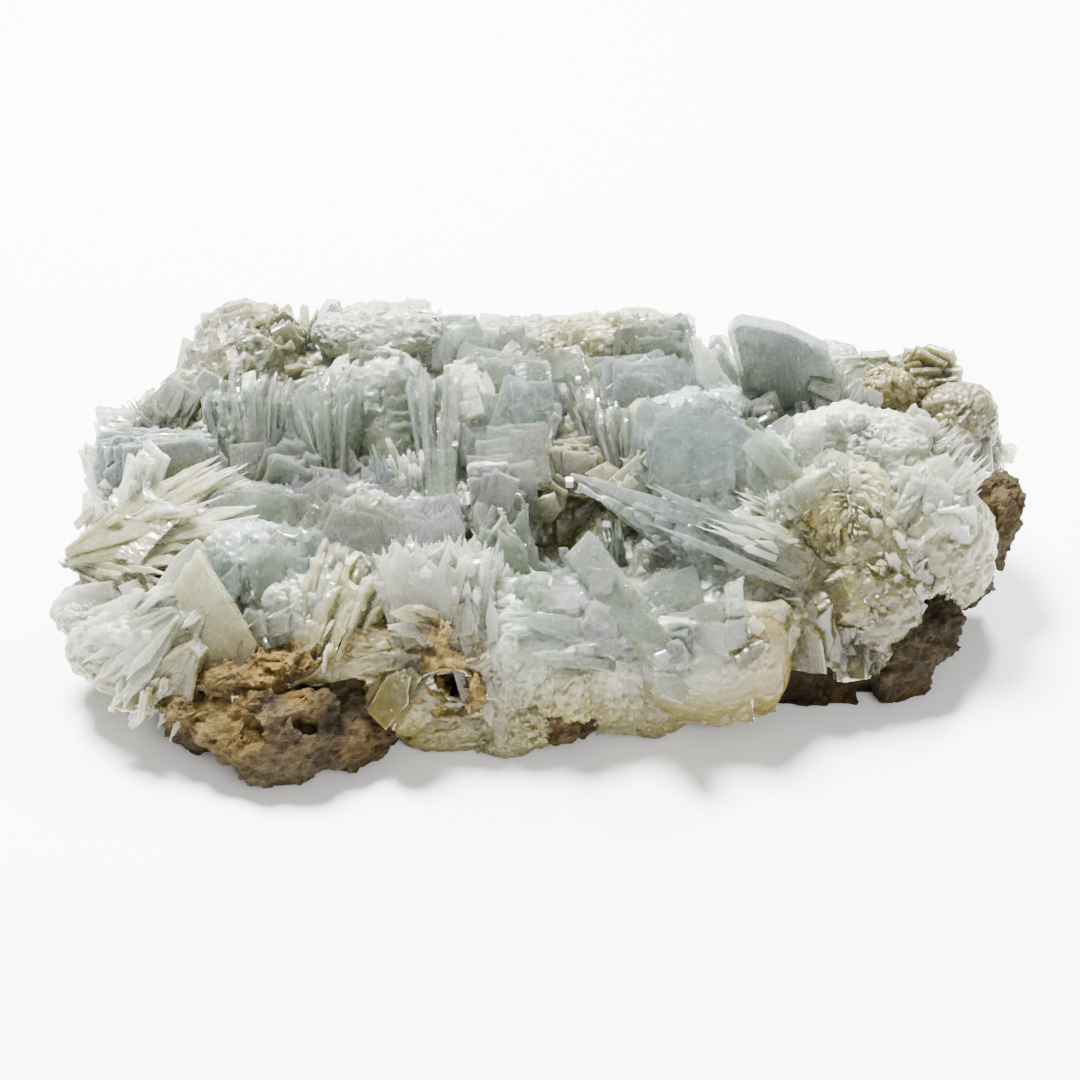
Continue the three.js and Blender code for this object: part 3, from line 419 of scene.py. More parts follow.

# Patches of the rock, with painted shade in its pits, in the same form
ROCK_PATCHES = [
    ("64501c", (240, 735, 12), 6, 0.8),
    ("5c4a1d", (225, 705, 15), 7, 0.7),
    ("745c24", (300, 700, 17), 4, 0.6),
    ("4f4632", (295, 765, 5), 9, 0.8),
    # painted shade: near-black in the pits, two of them over the sunk PITS
    ("15110a", (270, 705, 17), 3.5, 0.9),
    ("15110a", (318, 750, 8), 3, 0.9),
    ("1a160d", (332, 715, 14), 3.5, 0.9),
    ("544219", (375, 745, 8), 5, 0.6),
    ("665a38", (200, 720, 12), 7, 0.6),
    ("241d12", (890, 690, 5), 11, 0.9),
    ("2b2417", (880, 650, 12), 9, 0.7),
    ("2e2615", (925, 655, 10), 8, 0.8),
    ("544828", (990, 520, 25), 8, 0.7),
    ("4c3c18", (560, 730, 6), 6, 0.7),
]

# And of the ochre crust
OCHRE_PATCHES = [
    ("7a6432", (262, 668, 23), 6, 0.6),
    ("3c2c12", (240, 695, 18), 4, 0.7),
    ("b09c64", (432, 612, 31), 7, 0.85),
    ("a8945c", (452, 650, 24), 7, 0.8),
    ("8c7846", (472, 688, 18), 6, 0.7),
    ("5a4622", (436, 630, 28), 2, 0.8),
]

# Pits of the rock: (place in the view, radius, depth), in millimetres
PITS = [
    ((270, 705, 17), 2.5, 1.5), ((332, 715, 14), 2.2, 1.2), ((880, 668, 10), 3, 2), ((905, 640, 14), 2.5, 2),
]

# Masses of the rock that stand out of it: (place of the surface in the view, radii in millimetres, folds)
ROCK_MASSES = [
    ((905, 668, 9), (8, 6, 8), 0.8),  # right foot
    ((935, 655, 9.5), (5, 3, 3), 0.5),  # right spur
    ((951, 649, 10.5), (3.2, 1.6, 1.5), 0.3),  # right spike
    ((815, 700, 2.5), (10, 5, 5), 0.8),  # hollow floor
    ((256, 708, 18), (6, 4, 4), 0.6),  # left face
    ((306, 708, 18), (6, 4, 4), 0.6),  # left face right
    ((1000, 505, 27), (5, 6, 8), 0.9),  # right shoulder
    ((215, 728, 9), (9, 6, 6), 0.8),  # left foot
]

FORWARD = np.array((0.0, math.cos(VIEW_ELEVATION), -math.sin(VIEW_ELEVATION)))
UPWARD = np.array((0.0, math.sin(VIEW_ELEVATION), math.cos(VIEW_ELEVATION)))
EYE = VIEW_TARGET - VIEW_DISTANCE * FORWARD


def linear(code):
    """An sRGB hex code as linear red, green and blue."""
    values = np.array([int(code[i:i + 2], 16) / 255 for i in (0, 2, 4)])
    return np.where(values <= 0.04045, values / 12.92, ((values + 0.055) / 1.055) ** 2.4)


def unit(vector):
    return vector / np.linalg.norm(vector)


def placed(right, down, height):
    """The point, in the part's millimetres, that shows at a place in the view at a height above the base."""
    sight = FORWARD + UPWARD * (VIEW_UNITS / 2 - down) / VIEW_FOCAL
    sight[0] = (right - VIEW_UNITS / 2) / VIEW_FOCAL
    return EYE + sight * (height - EYE[2]) / sight[2] - MID


def spun(vector, axis, degrees):
    """The vector turned about a unit axis."""
    angle = math.radians(degrees)
    return (vector * math.cos(angle) + np.cross(axis, vector) * math.sin(angle)
            + axis * np.dot(axis, vector) * (1 - math.cos(angle)))


def jagged(outline, width, length, chips, mirror, rng):
    """The outline in millimetres, with small steps along the edges of its outer half."""
    corners = [(mirror * x * width, y * length) for x, y in outline]
    if mirror < 0:
        corners.reverse()
    points = []
    for here, there in zip(corners, corners[1:] + corners[:1]):
        points.append(here)
        run = math.dist(here, there)
        if chips == 0 or min(here[1], there[1]) < CHIPPED_FROM * length or run < SHORTEST_CHIPPED:
            continue
        steps = min(MOST_CHIPS, int(run / CHIP_PITCH) + 1)
        for step in range(1, steps + 1):
            share = (step + rng.uniform(-0.3, 0.3)) / (steps + 1)
            depth = chips * rng.uniform(-0.2, 1) / run
            points.append((
                here[0] + (there[0] - here[0]) * share - (there[1] - here[1]) * depth,
                here[1] + (there[1] - here[1]) * share + (there[0] - here[0]) * depth,
            ))
    return np.array(points)


class Plate:
    """One thin crystal, in the part's millimetres. A chipped one has a double bevel round its rim."""

    def __init__(self, origin, axes, points, thickness, length, tint, shade, bevel):
        self.origin = origin
        self.axes = axes
        self.length = length
        self.tint = tint
        self.look = CLEAR_LOOK if tint in CLEAR_TINTS else MILKY_LOOK
        self.shade = shade
        if bevel:
            middle = points.mean(0)
            reach = np.abs(points - middle).max(0).min()
            inset = middle + (points - middle) * (1 - min(MOST_CHAMFER, CHAMFER / max(reach, LEAST_REACH)))
            layers = ((inset, thickness / 2), (points, 0), (inset, -thickness / 2))
        else:
            layers = ((points, thickness / 2), (points, -thickness / 2))
        flat = [(*point, height) for layer, height in layers for point in layer]
        self.vertices = origin + np.array(flat) @ np.array(axes)
        self.vertices[:, 2] = np.maximum(self.vertices[:, 2], FLOOR_GAP)
        count, last = len(points), len(flat) - 1
        self.faces = [tuple(range(count)), tuple(range(last, last - count, -1))]
        for first in range(0, last + 1 - count, count):
            for i in range(count):
                j = (i + 1) % count
                self.faces.append((first + i, first + i + count, first + j + count, first + j))
        self.rims = [0, 0] + [1] * (len(self.faces) - 2)
        self.low = self.vertices.min(0)
        self.high = self.vertices.max(0)


class Book:
    """Plates that share a root: the directions they grow, spread and face, in the part's millimetres."""

    def __init__(self, name, outline, tint, root, tip, facing, width, depth, fan=0, splay=0):
        self.name, self.outline, self.tint = name, outline, tint
        self.root, self.tip = root, tip
        self.width, self.depth, self.fan, self.splay = width, depth, fan, splay
        self.length = np.linalg.norm(tip - root)
        self.along = (tip - root) / self.length
        normal = np.array(facing, float)
        self.normal = unit(normal - self.along * np.dot(normal, self.along))
        self.across = np.cross(self.along, self.normal)
        self.front = -1 if np.dot(self.normal, FORWARD) > 0 else 1
        self.edge_on = abs(np.dot(self.normal, FORWARD)) < EDGE_ON

    def plate(self, rng, size, thickness, place=(0, 0, 0), turn=0.0, lean=0.0, roll=0.0, outline=None,
              chips=0.0, buried=3.0, mirror=None):
        """A plate of a size (width, length) at a place (across, along, normal) from the book's root. It is
        turned in its plane, leaned over its face, rolled about its length, and buried below that place."""
        along, across = spun(self.along, self.normal, turn), spun(self.across, self.normal, turn)
        along, normal = spun(along, across, lean), spun(self.normal, across, lean)
        across, normal = spun(across, along, roll), spun(normal, along, roll)
        mirror = mirror or rng.choice((-1, 1))
        points = jagged(OUTLINES[outline or self.outline], size[0], size[1] + buried, chips, mirror, rng)
        points[:, 1] -= buried
        origin = self.root + np.array(place) @ np.array((self.across, self.along, self.normal))
        return Plate(origin, (across, along, normal), points, thickness, size[1], self.tint,
                     rng.uniform(-1, 1), bevel=chips > 0)


def single(book, rng):
    """One thick crystal with growth steps on its faces."""
    thickness = min(0.6 * book.depth, THICKEST_SINGLE)
    plates = [book.plate(rng, (book.width, book.length), thickness, mirror=1)]
    for _ in range(0 if book.outline == "slab" else int(1 + book.width / 4)):
        plates.append(step_on(book, rng, (book.width, book.length), thickness))
    return plates


def step_on(book, rng, size, thickness, place=(0, 0, 0), turn=0, lean=0, roll=0):
    """A growth step: a smaller plate in the plane of another, which stands out a little from both faces."""
    width = size[0] * rng.uniform(0.4, 0.85)
    length = size[1] * rng.uniform(0.4, 0.8)
    spot = (place[0] + (size[0] - width) * rng.uniform(-0.45, 0.45),
            place[1] + (size[1] - length) * rng.uniform(0.3, 0.98), place[2])
    return book.plate(rng, (width, length), thickness + rng.uniform(0.12, 0.36), spot, turn, lean, roll,
                      chips=0.25, buried=0.0)


def comb(book, rng):
    """Plates seen from their edges: fused low down, with a ridged front and a serrated crest."""
    count = max(4, round(book.depth / COMB_PITCH))
    tallest = rng.randrange(count)
    plates = []
    for i in range(count):
        share = i / (count - 1) - 0.5
        broad = 1 if i == tallest else rng.uniform(0.84, 1)
        reach = 1 if i == tallest else rng.uniform(0.62, 0.98)
        aside = (1 - broad) * book.width / 2 * rng.uniform(-1, 1)
        width, length = book.width * broad, book.length * reach
        thickness = COMB_PITCH * rng.uniform(0.8, 2.4)
        turn, lean, roll = rng.gauss(0, 4), book.fan * share + rng.gauss(0, 2.5), rng.gauss(0, 6)
        place = (aside, 0, share * book.depth * 0.94)
        plates.append(book.plate(rng, (width, length), thickness, place, turn, lean, roll, chips=0.6))
        for _ in range(2):
            side = rng.choice((-1, 1))
            start = length * rng.uniform(0.15, 0.8)
            spot = (aside + side * width * 0.4, start, place[2] + book.fan * share * start * DEGREE)
            plates.append(book.plate(
                rng, (rng.uniform(1.1, 2.2), rng.uniform(2.5, 5)), thickness * rng.uniform(0.5, 0.9), spot,
                turn - side * rng.uniform(2, 10), lean, roll, outline="spear", buried=1.5))
    return plates


def palisade(book, rng):
    """Upright strips side by side, fused into one face that bows round by the fan, with a stepped crest."""
    count = max(4, round(book.width / STRIP_PITCH))
    bow = math.radians(book.fan)
    plates = []
    for _ in range(2 * count):
        share = rng.uniform(-0.5, 0.5)
        sink = book.width / max(bow, 0.1) * (1 - math.cos(bow * share))
        length = book.length * rng.uniform(0.82, 1) * (1 - 0.3 * share * share)
        place = (share * book.width, 0, book.front * (rng.uniform(-0.3, 0.3) - sink))
        plates.append(book.plate(
            rng, (STRIP_PITCH * rng.uniform(1.6, 4), length), rng.uniform(2.4, 3.4), place,
            -share * book.splay + rng.gauss(0, 1.2), rng.gauss(0, 1),
            book.front * book.fan * share + rng.gauss(0, 2), chips=0.3))
    core = (book.width * 0.8, book.length * 0.86)
    return plates + [book.plate(rng, core, book.depth, (0, 0, -book.front * book.depth / 2))]


def stack(book, rng):
    """Plates seen from their faces, which cross each other and step back one behind the next."""
    count = max(6, round(book.width * book.depth / STACK_SHARE))
    plates = []
    for i in range(count):
        ahead = i / (count - 1)
        broad = 1 if i == 0 else rng.uniform(0.3, 0.75)
        reach = 1 - 0.5 * ahead * rng.uniform(0.2, 1)
        aside = (1.05 - broad) * book.width / 2 * rng.uniform(-1, 1)
        size = (book.width * broad, book.length * reach)
        thickness = STACK_PITCH * rng.uniform(0.8, 1.8)
        turn = rng.gauss(0, 4 if i == 0 else 13) + book.splay * rng.uniform(-0.6, 0.6)
        lean, roll = book.fan * book.front * (ahead - 0.5) + rng.gauss(0, 3), rng.gauss(0, 6)
        place = (aside, 0, book.front * (ahead - 0.5) * book.depth)
        outline = rng.choice((book.outline, book.outline, "rhomb", "square"))
        plates.append(book.plate(rng, size, thickness, place, turn, lean, roll, outline, chips=0.5))
        for _ in range(2):
            plates.append(step_on(book, rng, size, thickness, place, turn, lean, roll))
    return plates


def spray(book, rng):
    """Narrow blades that radiate from a shared root. Quills are finer, and spring from one point."""
    fine = book.outline == "quill"
    count = int(12 + book.width * book.depth) if fine else int(10 + 0.15 * book.width * book.depth)
    plates = []
    for i in range(count):
        share = rng.uniform(-0.5, 0.5)
        level = rng.uniform(-0.5, 0.5)
        length = book.length * (1 if i == 0 else rng.uniform(0.55, 1))
        width = book.width * (rng.uniform(0.12, 0.34) if fine else rng.uniform(0.25, 0.5))
        plates.append(book.plate(
            rng, (width, length), rng.uniform(0.5, 1.1),
            (share * (book.width - width) * (0.5 if fine else 1), 0, level * book.depth * 0.9),
            -share * book.splay * (1.6 if fine else 1) + rng.gauss(0, 2),
            book.fan * level + rng.gauss(0, 1.5), rng.gauss(0, 6), chips=0.4))
    return plates


def foot_blades(book, rng):
    """Small pointed blades about the foot and the flanks of a book, growing as it does."""
    plates = []
    for _ in range(int(5 + 0.1 * book.width * book.depth)):
        length = rng.uniform(2.5, 7)
        spot = (book.width * rng.uniform(-0.6, 0.6), rng.uniform(-0.1, 0.35) * book.length,
                book.depth * rng.uniform(-0.65, 0.65))
        plates.append(book.plate(
            rng, (length * rng.uniform(0.25, 0.6), length), rng.uniform(0.4, 0.9), spot, rng.gauss(0, 5),
            rng.gauss(0, 4), rng.gauss(0, 5), outline=rng.choice(("spear", "chisel", "rhomb")), buried=1.5))
    return plates


def grown(book, rng):
    """All the plates of one book. A book with no fan and no splay is a single crystal."""
    if book.fan == 0 and book.splay == 0:
        return single(book, rng)
    if book.edge_on and book.outline != "strip":
        return comb(book, rng) + foot_blades(book, rng)
    if book.outline == "strip":
        return palisade(book, rng)
    if book.outline == "quill":
        return spray(book, rng)
    if book.splay >= SPRAY_SPLAY or book.outline == "spear":
        return spray(book, rng) + foot_blades(book, rng)
    return stack(book, rng) + foot_blades(book, rng)


def surface_points(mesh, count, rng):
    """Points spread over a mesh by area, with the normal there."""
    mesh.calc_loop_triangles()
    triangles = mesh.loop_triangles
    areas = np.array([t.area for t in triangles])
    for triangle in rng.choices(triangles, weights=areas, k=count):
        a, b, c = (np.array(mesh.vertices[i].co) / MM for i in triangle.vertices)
        u, v = rng.random(), rng.random()
        if u + v > 1:
            u, v = 1 - u, 1 - v
        yield a + u * (b - a) + v * (c - a), np.array(triangle.normal)


class Neighbours:
    """Which book a point of the surface lies by."""

    def __init__(self, books):
        self.books = books
        self.roots = np.array([book.root for book in books])
        self.spans = np.array([book.tip - book.root for book in books])
        self.widths = np.array([book.width for book in books])

    def nearest(self, point):
        """The number of the book whose line of growth passes nearest, and whether the point is inside it."""
        gap = point - self.roots
        share = np.clip((gap * self.spans).sum(1) / (self.spans ** 2).sum(1), 0, 1)
        distance = np.linalg.norm(gap - self.spans * share[:, None], axis=1) - 0.25 * self.widths
        number = int(distance.argmin())
        book = self.books[number]
        aside, up, out = np.array((book.across, book.along, book.normal)) @ (point - book.root)
        inside = abs(aside) < 0.55 * book.width and abs(out) < 0.5 * book.depth + 0.8 and up > 0
        return number, inside


def ground_plate(point, outward, near, rng):
    """A plate of the ground, which grows between outward and the way of the book beside it."""
    way = near.along if np.dot(outward, near.along) > -0.2 else -near.along
    along = unit(0.5 * outward + way)
    outlines, widths = NARROW_GROUND if near.outline in NARROW_BOOKS else BROAD_GROUND
    outline, width = rng.choice(outlines), rng.uniform(*widths)
    length = rng.uniform(3, 7)
    root = point - along * (length - rng.uniform(0.1, 1.3))
    book = Book("ground", outline, near.tint, root, root + along * length, near.normal, width, 1)
    return book.plate(rng, (width, length), rng.uniform(0.5, 1.3), (0, 0, 0), rng.gauss(0, 6),
                      rng.gauss(0, 6), rng.gauss(0, 7), chips=0.3 if width > 3 else 0, buried=1.0)


class Mass:
    """A closed, rounded body: an ellipsoid with folds and ledges. Its front shows at a place in the view."""

    def __init__(self, place, radii, folds):
        self.radii = np.array(radii, float)
        self.origin = placed(*place) + FORWARD / np.linalg.norm(FORWARD / self.radii)
        ball = bmesh.new()
        bmesh.ops.create_icosphere(ball, subdivisions=LUMP_LEVEL, radius=1)
        spots = np.array([vertex.co for vertex in ball.verts])
        self.faces = [tuple(vertex.index for vertex in face.verts) for face in ball.faces]
        ball.free()
        shape = spots * self.radii
        rise = np.array([folded(Vector(point + self.origin)) for point in shape])
        self.vertices = self.origin + shape + spots * (folds * rise)[:, None]
        self.vertices[:, 2] = np.maximum(self.vertices[:, 2], FLOOR_GAP)


class Lump(Mass):
    """A mass of fine crystals, which is joined and painted like a plate."""

    def __init__(self, name, tint, place, radii, folds, blades):
        super().__init__(place, radii, folds)
        self.name, self.tint, self.blades = name, tint, blades
        self.look = GRANULAR_LOOK
        self.axes = (np.array((1.0, 0, 0)), np.array((0, 0, 1.0)), np.array((0, -1.0, 0)))
        self.length = self.radii[2]
        self.shade = 0
        self.rims = [0] * len(self.faces)
        self.low = self.vertices.min(0)
        self.high = self.vertices.max(0)

    def small_plates(self, rng):
        """Small plates that stand a little out of the lump, with neighbours nearly side by side."""
        plates = []
        for _ in range(self.blades):
            way = unit(np.array((rng.gauss(0, 1), rng.gauss(0, 1) - 0.6, rng.gauss(0, 1) + 0.6)))
            along = unit(way / self.radii)
            length = rng.uniform(2, 4)
            top = self.origin + way * self.radii + along * rng.uniform(-0.5, 0.3)
            drift = np.array(noise.noise_vector(Vector(top * GRAIN_TURN)))
            side = unit(np.cross(along, unit(drift) + [rng.gauss(0, 0.25) for _ in range(3)]))
            outline = rng.choice(("round", "rhomb", "chisel"))
            book = Book(self.name, outline, self.tint, top - along * length, top, side, rng.uniform(1, 3), 1)
            small = book.plate(rng, (book.width, length), rng.uniform(0.25, 0.6), buried=0.5)
            small.look = GRANULAR_LOOK
            plates.append(small)
        return plates


def folded(point):
    """Folds, ledges, small blocks and grain, in millimetres, at a point in millimetres."""
    broad = noise.noise(point * 0.09)
    ledges = math.floor(5 * noise.noise(point * 0.13 + Vector((7, 3, 1)))) / 5
    bent = point + 2.5 * noise.noise_vector(point * 0.12)
    blocks = noise.cell(Vector((0.4 * bent.x + 0.2 * bent.z, 0.4 * bent.y, 0.75 * bent.z - 0.3 * bent.x)))
    flakes = noise.cell(Vector((0.9 * bent.x, 0.5 * bent.z - 0.5 * bent.y, 0.9 * bent.z + 0.5 * bent.x)))
    return 1.6 * broad + 1.3 * ledges + 0.45 * blocks + 0.3 * flakes + 0.6 * noise.noise(point * 0.5)


def apart(plates):
    """The plates in groups in which no two boxes touch."""
    groups = []
    for plate in plates:
        for group in groups:
            lows, highs = group["low"][:len(group["plates"])], group["high"][:len(group["plates"])]
            if not ((lows <= plate.high) & (highs >= plate.low)).all(1).any():
                break
        else:
            group = {"low": np.zeros((len(plates), 3)), "high": np.zeros((len(plates), 3)), "plates": []}
            groups.append(group)
        group["low"][len(group["plates"])] = plate.low
        group["high"][len(group["plates"])] = plate.high
        group["plates"].append(plate)
    return [group["plates"] for group in groups]


def linked(name, data):
    """A new object of the scene."""
    thing = bpy.data.objects.new(name, data)
    bpy.context.scene.collection.objects.link(thing)
    return thing


def with_modifier(thing, kind, **settings):
    """The object, with a modifier put on it and applied."""
    modifier = thing.modifiers.new("step", kind)
    for name, value in settings.items():
        setattr(modifier, name, value)
    depsgraph = bpy.context.evaluated_depsgraph_get()
    mesh = bpy.data.meshes.new_from_object(
        thing.evaluated_get(depsgraph), preserve_all_data_layers=True, depsgraph=depsgraph)
    thing.modifiers.clear()
    thing.data = mesh
    return thing


def read(items, field, kind=float, width=1):
    """One field of all the items of a mesh, in rows of a width."""
    values = np.empty(len(items) * width, kind)
    items.foreach_get(field, values)
    return values.reshape(-1, width) if width > 1 else values


def group_object(plates, numbers):
    """Plates that don't touch, as one object. A face's mark is 2 x its plate's number, plus 1 on the rim."""
    vertices, faces, marks = [], [], []
    for plate in plates:
        first = len(vertices)
        vertices.extend((plate.vertices * MM).tolist())
        faces.extend(tuple(first + i for i in face) for face in plate.faces)
        marks.extend(2 * numbers[plate] + rim for rim in plate.rims)
    mesh = bpy.data.meshes.new("plates")
    mesh.from_pydata(vertices, [], faces)
    mesh.attributes.new("mark", "INT", "FACE").data.foreach_set("value", marks)
    return linked("plates", mesh)


def joined(first, second):
    """The union of two objects, as one without inner faces."""
    with_modifier(first, "BOOLEAN", operation="UNION", solver="MANIFOLD", object=second)
    bpy.data.objects.remove(second)
    return first


def united(name, plates):
    """All the plates as one closed mesh."""
    numbers = {plate: i for i, plate in enumerate(plates)}
    objects = [group_object(group, numbers) for group in apart(plates)]
    while len(objects) > 1:
        objects.sort(key=lambda thing: len(thing.data.polygons))
        objects = [joined(objects[0], objects[1]), *objects[2:]]
    thing = objects[0]
    thing.name = name
    thing.data.name = name
    return thing


class Hollows:
    """How deep a point lies below the crystals round it."""

    CELL = 2.5
    REACH = 2  # cells

    def __init__(self, points):
        self.low = points[:, :2].min(0)
        cells = ((points[:, :2] - self.low) / self.CELL).astype(int)
        heights = np.zeros(cells.max(0) + 1 + 2 * self.REACH)
        np.maximum.at(heights, (cells[:, 0] + self.REACH, cells[:, 1] + self.REACH), points[:, 2])
        size = cells.max(0) + 1
        shifts = range(2 * self.REACH + 1)
        self.tops = np.mean([heights[i:i + size[0], j:j + size[1]] for i in shifts for j in shifts], axis=0)

    def depth(self, points):
        cells = ((points[:, :2] - self.low) / self.CELL).astype(int)
        cells = np.clip(cells, 0, np.array(self.tops.shape) - 1)
        return self.tops[cells[:, 0], cells[:, 1]] - points[:, 2]


def blend(one, other, share):
    """The one with a share of the other laid over it."""
    share = np.asarray(share)
    if share.ndim == 1:
        share = share[:, None]
    return one * (1 - share) + other * share


def darkened(colour, points):
    """The colours with the stain of the base and painted shade in the hollows between the crystals laid over
    them.
    """
    sunk = np.clip((HOLLOWS.depth(points) - HOLLOW_START) / HOLLOW_DEPTH, 0, 1)
    low = np.clip((BASE_STAIN_TOP - points[:, 2]) / BASE_STAIN_TOP, 0, 1)
    based = blend(colour, linear(BASE_STAIN), BASE_SHARE * low)
    # painted shade of the hollows, growing with how deep they lie
    return blend(based, linear(HOLLOW_PAINTED_SHADE), HOLLOW_SHARE * sunk)


def patched(colour, points, patches):
    """The colours with stained patches laid over them."""
    for code, place, radius, strength in patches:
        distance = np.linalg.norm(points - placed(*place), axis=1)
        colour = blend(colour, linear(code), strength * np.exp(-(distance / radius) ** 2))
    return colour


def set_colours(mesh, domain, colour):
    layer = mesh.color_attributes.new("tint", "FLOAT_COLOR", domain)
    layer.data.foreach_set("color", np.column_stack((np.clip(colour, 0, 1), np.ones(len(colour)))).ravel())


def paint(mesh, plates):
    """Colours each corner by its plate's tint, its place along it, a painted highlight on its rim, the stains,
    and painted shade at its root, in the hollows and in the caves, and lays out the grain.
    """
    face_marks = read(mesh.attributes["mark"].data, "value", int)
    marks = np.repeat(face_marks, read(mesh.polygons, "loop_total", int))
    number, rim = marks // 2, marks % 2
    points = read(mesh.vertices, "co", width=3)[read(mesh.loops, "vertex_index", int)] / MM

    def by_plate(values):
        return np.array(values)[number]

    origins = by_plate([plate.origin for plate in plates])
    local = np.einsum("nij,nj->ni", by_plate([plate.axes for plate in plates]), points - origins)
    rise = np.clip(local[:, 1] / by_plate([plate.length for plate in plates]), 0, 1)
    body, tip = (by_plate([linear(TINTS[plate.tint][i]) for plate in plates]) for i in (0, 1))
    edge = by_plate([STAINED_EDGE_SHARE if plate.tint in STAINED_TINTS else EDGE_SHARE for plate in plates])
    shade = by_plate([plate.shade for plate in plates])
    colour = blend(body, tip, rise ** TIP_POWER)
    # painted highlight along the rim, growing towards the tip
    colour = blend(colour, linear(PAINTED_EDGE_HIGHLIGHT), edge * rim * rise)
    # olive stain and painted shade towards each plate's root
    colour = blend(colour, linear(ROOT_STAIN_AND_SHADE), ROOT_SHARE * np.clip(ROOT_END - rise, 0, 1) / ROOT_END)
    # the base's stain, the painted shade of the hollows, and the stains and painted shade of the caves
    colour = patched(darkened(colour, points), points, STAINS) * (1 + SHADE_SHARE * shade[:, None])
    set_colours(mesh, "CORNER", colour)
    grain = mesh.uv_layers.new(name="grain")
    grain.data.foreach_set("uv", local[:, :2].ravel() / GRAIN_UNIT)


def new_material(name, roughness, ior):
    material = bpy.data.materials.new(name)
    material.use_nodes = True
    shader = material.node_tree.nodes["Principled BSDF"]
    shader.inputs["Roughness"].default_value = roughness
    shader.inputs["IOR"].default_value = ior
    return material, material.node_tree, shader


def noise_node(tree, vector, scale, detail=4.0, rough=0.55):
    node = tree.nodes.new("ShaderNodeTexNoise")
    node.inputs["Scale"].default_value = scale
    node.inputs["Detail"].default_value = detail
    node.inputs["Roughness"].default_value = rough
    tree.links.new(vector, node.inputs["Vector"])
    return node.outputs["Fac"]


def step_node(tree, vector, scale):
    """A random level for each cell of a field of straight-edged cells."""
    node = tree.nodes.new("ShaderNodeTexVoronoi")
    node.distance = "CHEBYCHEV"
    node.inputs["Scale"].default_value = scale
    tree.links.new(vector, node.inputs["Vector"])
    parts = tree.nodes.new("ShaderNodeSeparateColor")
    tree.links.new(node.outputs["Color"], parts.inputs["Color"])
    return parts.outputs["Red"]


def ramp_node(tree, value, low, high, low_out=0.0, high_out=1.0):
    node = tree.nodes.new("ShaderNodeMapRange")
    for name, number in (("From Min", low), ("From Max", high), ("To Min", low_out), ("To Max", high_out)):
        node.inputs[name].default_value = number
    tree.links.new(value, node.inputs["Value"])
    return node.outputs["Result"]


def mix_node(tree, mode, share, one, other):
    node = tree.nodes.new("ShaderNodeMix")
    node.data_type = "RGBA"
    node.blend_type = mode
    for name, value in (("Factor", share), ("A", one), ("B", other)):
        socket = [s for s in node.inputs if s.name == name and s.enabled][0]
        if isinstance(value, bpy.types.NodeSocket):
            tree.links.new(value, socket)
        else:
            socket.default_value = value
    return [s for s in node.outputs if s.enabled][0]


def bumped(tree, *layers):
    """The normal of a surface with layers of relief: (heights, distance in metres)."""
    normal = None
    for heights, distance in layers:
        node = tree.nodes.new("ShaderNodeBump")
        node.inputs["Distance"].default_value = distance
        tree.links.new(heights, node.inputs["Height"])
        if normal is not None:
            tree.links.new(normal, node.inputs["Normal"])
        normal = node.outputs["Normal"]
    return normal


def colour4(code):
    return (*linear(code), 1.0)


def object_place(tree):
    return tree.nodes.new("ShaderNodeTexCoord").outputs["Object"]


def tint_colour(tree):
    node = tree.nodes.new("ShaderNodeAttribute")
    node.attribute_name = "tint"
    return node.outputs["Color"]


def layered(tree, mode, under, mask, code, low=0.0, high=1.0, most=1.0):
    """The colour under another, which is strongest where the mask is high."""
    return mix_node(tree, mode, ramp_node(tree, mask, low, high, 0, most), under, colour4(code))


def translucent(shader, transmission, radius, scale):
    shader.inputs["Transmission Weight"].default_value = transmission
    shader.inputs["Subsurface Weight"].default_value = 1.0
    shader.inputs["Subsurface Radius"].default_value = radius
    shader.inputs["Subsurface Scale"].default_value = scale


def crystal_material(name, transmission, roughness):
    """Barite, milky to clear: a vitreous face, clouds, growth steps and a fine grain along the growth."""
    material, tree, shader = new_material(name, roughness, BARITE_IOR)
    place = object_place(tree)
    grain = tree.nodes.new("ShaderNodeUVMap")
    grain.uv_map = "grain"
    stretch = tree.nodes.new("ShaderNodeMapping")
    stretch.inputs["Scale"].default_value = (26, 3, 1)
    tree.links.new(grain.outputs["UV"], stretch.inputs["Vector"])
    fibres = noise_node(tree, stretch.outputs["Vector"], 1.0, 3)
    steps = step_node(tree, grain.outputs["UV"], 3.2)
    small_steps = step_node(tree, grain.outputs["UV"], 7.0)
    clouds = noise_node(tree, place, 230, 5)
    colour = layered(tree, "MULTIPLY", tint_colour(tree), clouds, "e6e4da", 0.3, 0.7)
    colour = layered(tree, "MULTIPLY", colour, steps, "dfe2df", most=0.5)
    colour = layered(tree, "MULTIPLY", colour, fibres, "cdd0c4", 0.4, 0.65, 0.45)
    tree.links.new(colour, shader.inputs["Base Color"])
    gloss = ramp_node(tree, noise_node(tree, place, 420, 3), 0.3, 0.7, roughness - 0.12, roughness + 0.14)
    tree.links.new(gloss, shader.inputs["Roughness"])
    uneven = noise_node(tree, place, 500, 3)
    normal = bumped(tree, (uneven, 0.00006), (fibres, 0.00012), (steps, 0.0001), (small_steps, 0.00005))
    tree.links.new(normal, shader.inputs["Normal"])
    translucent(shader, transmission, radius=(1.0, 1.0, 0.9), scale=0.004)
    return material


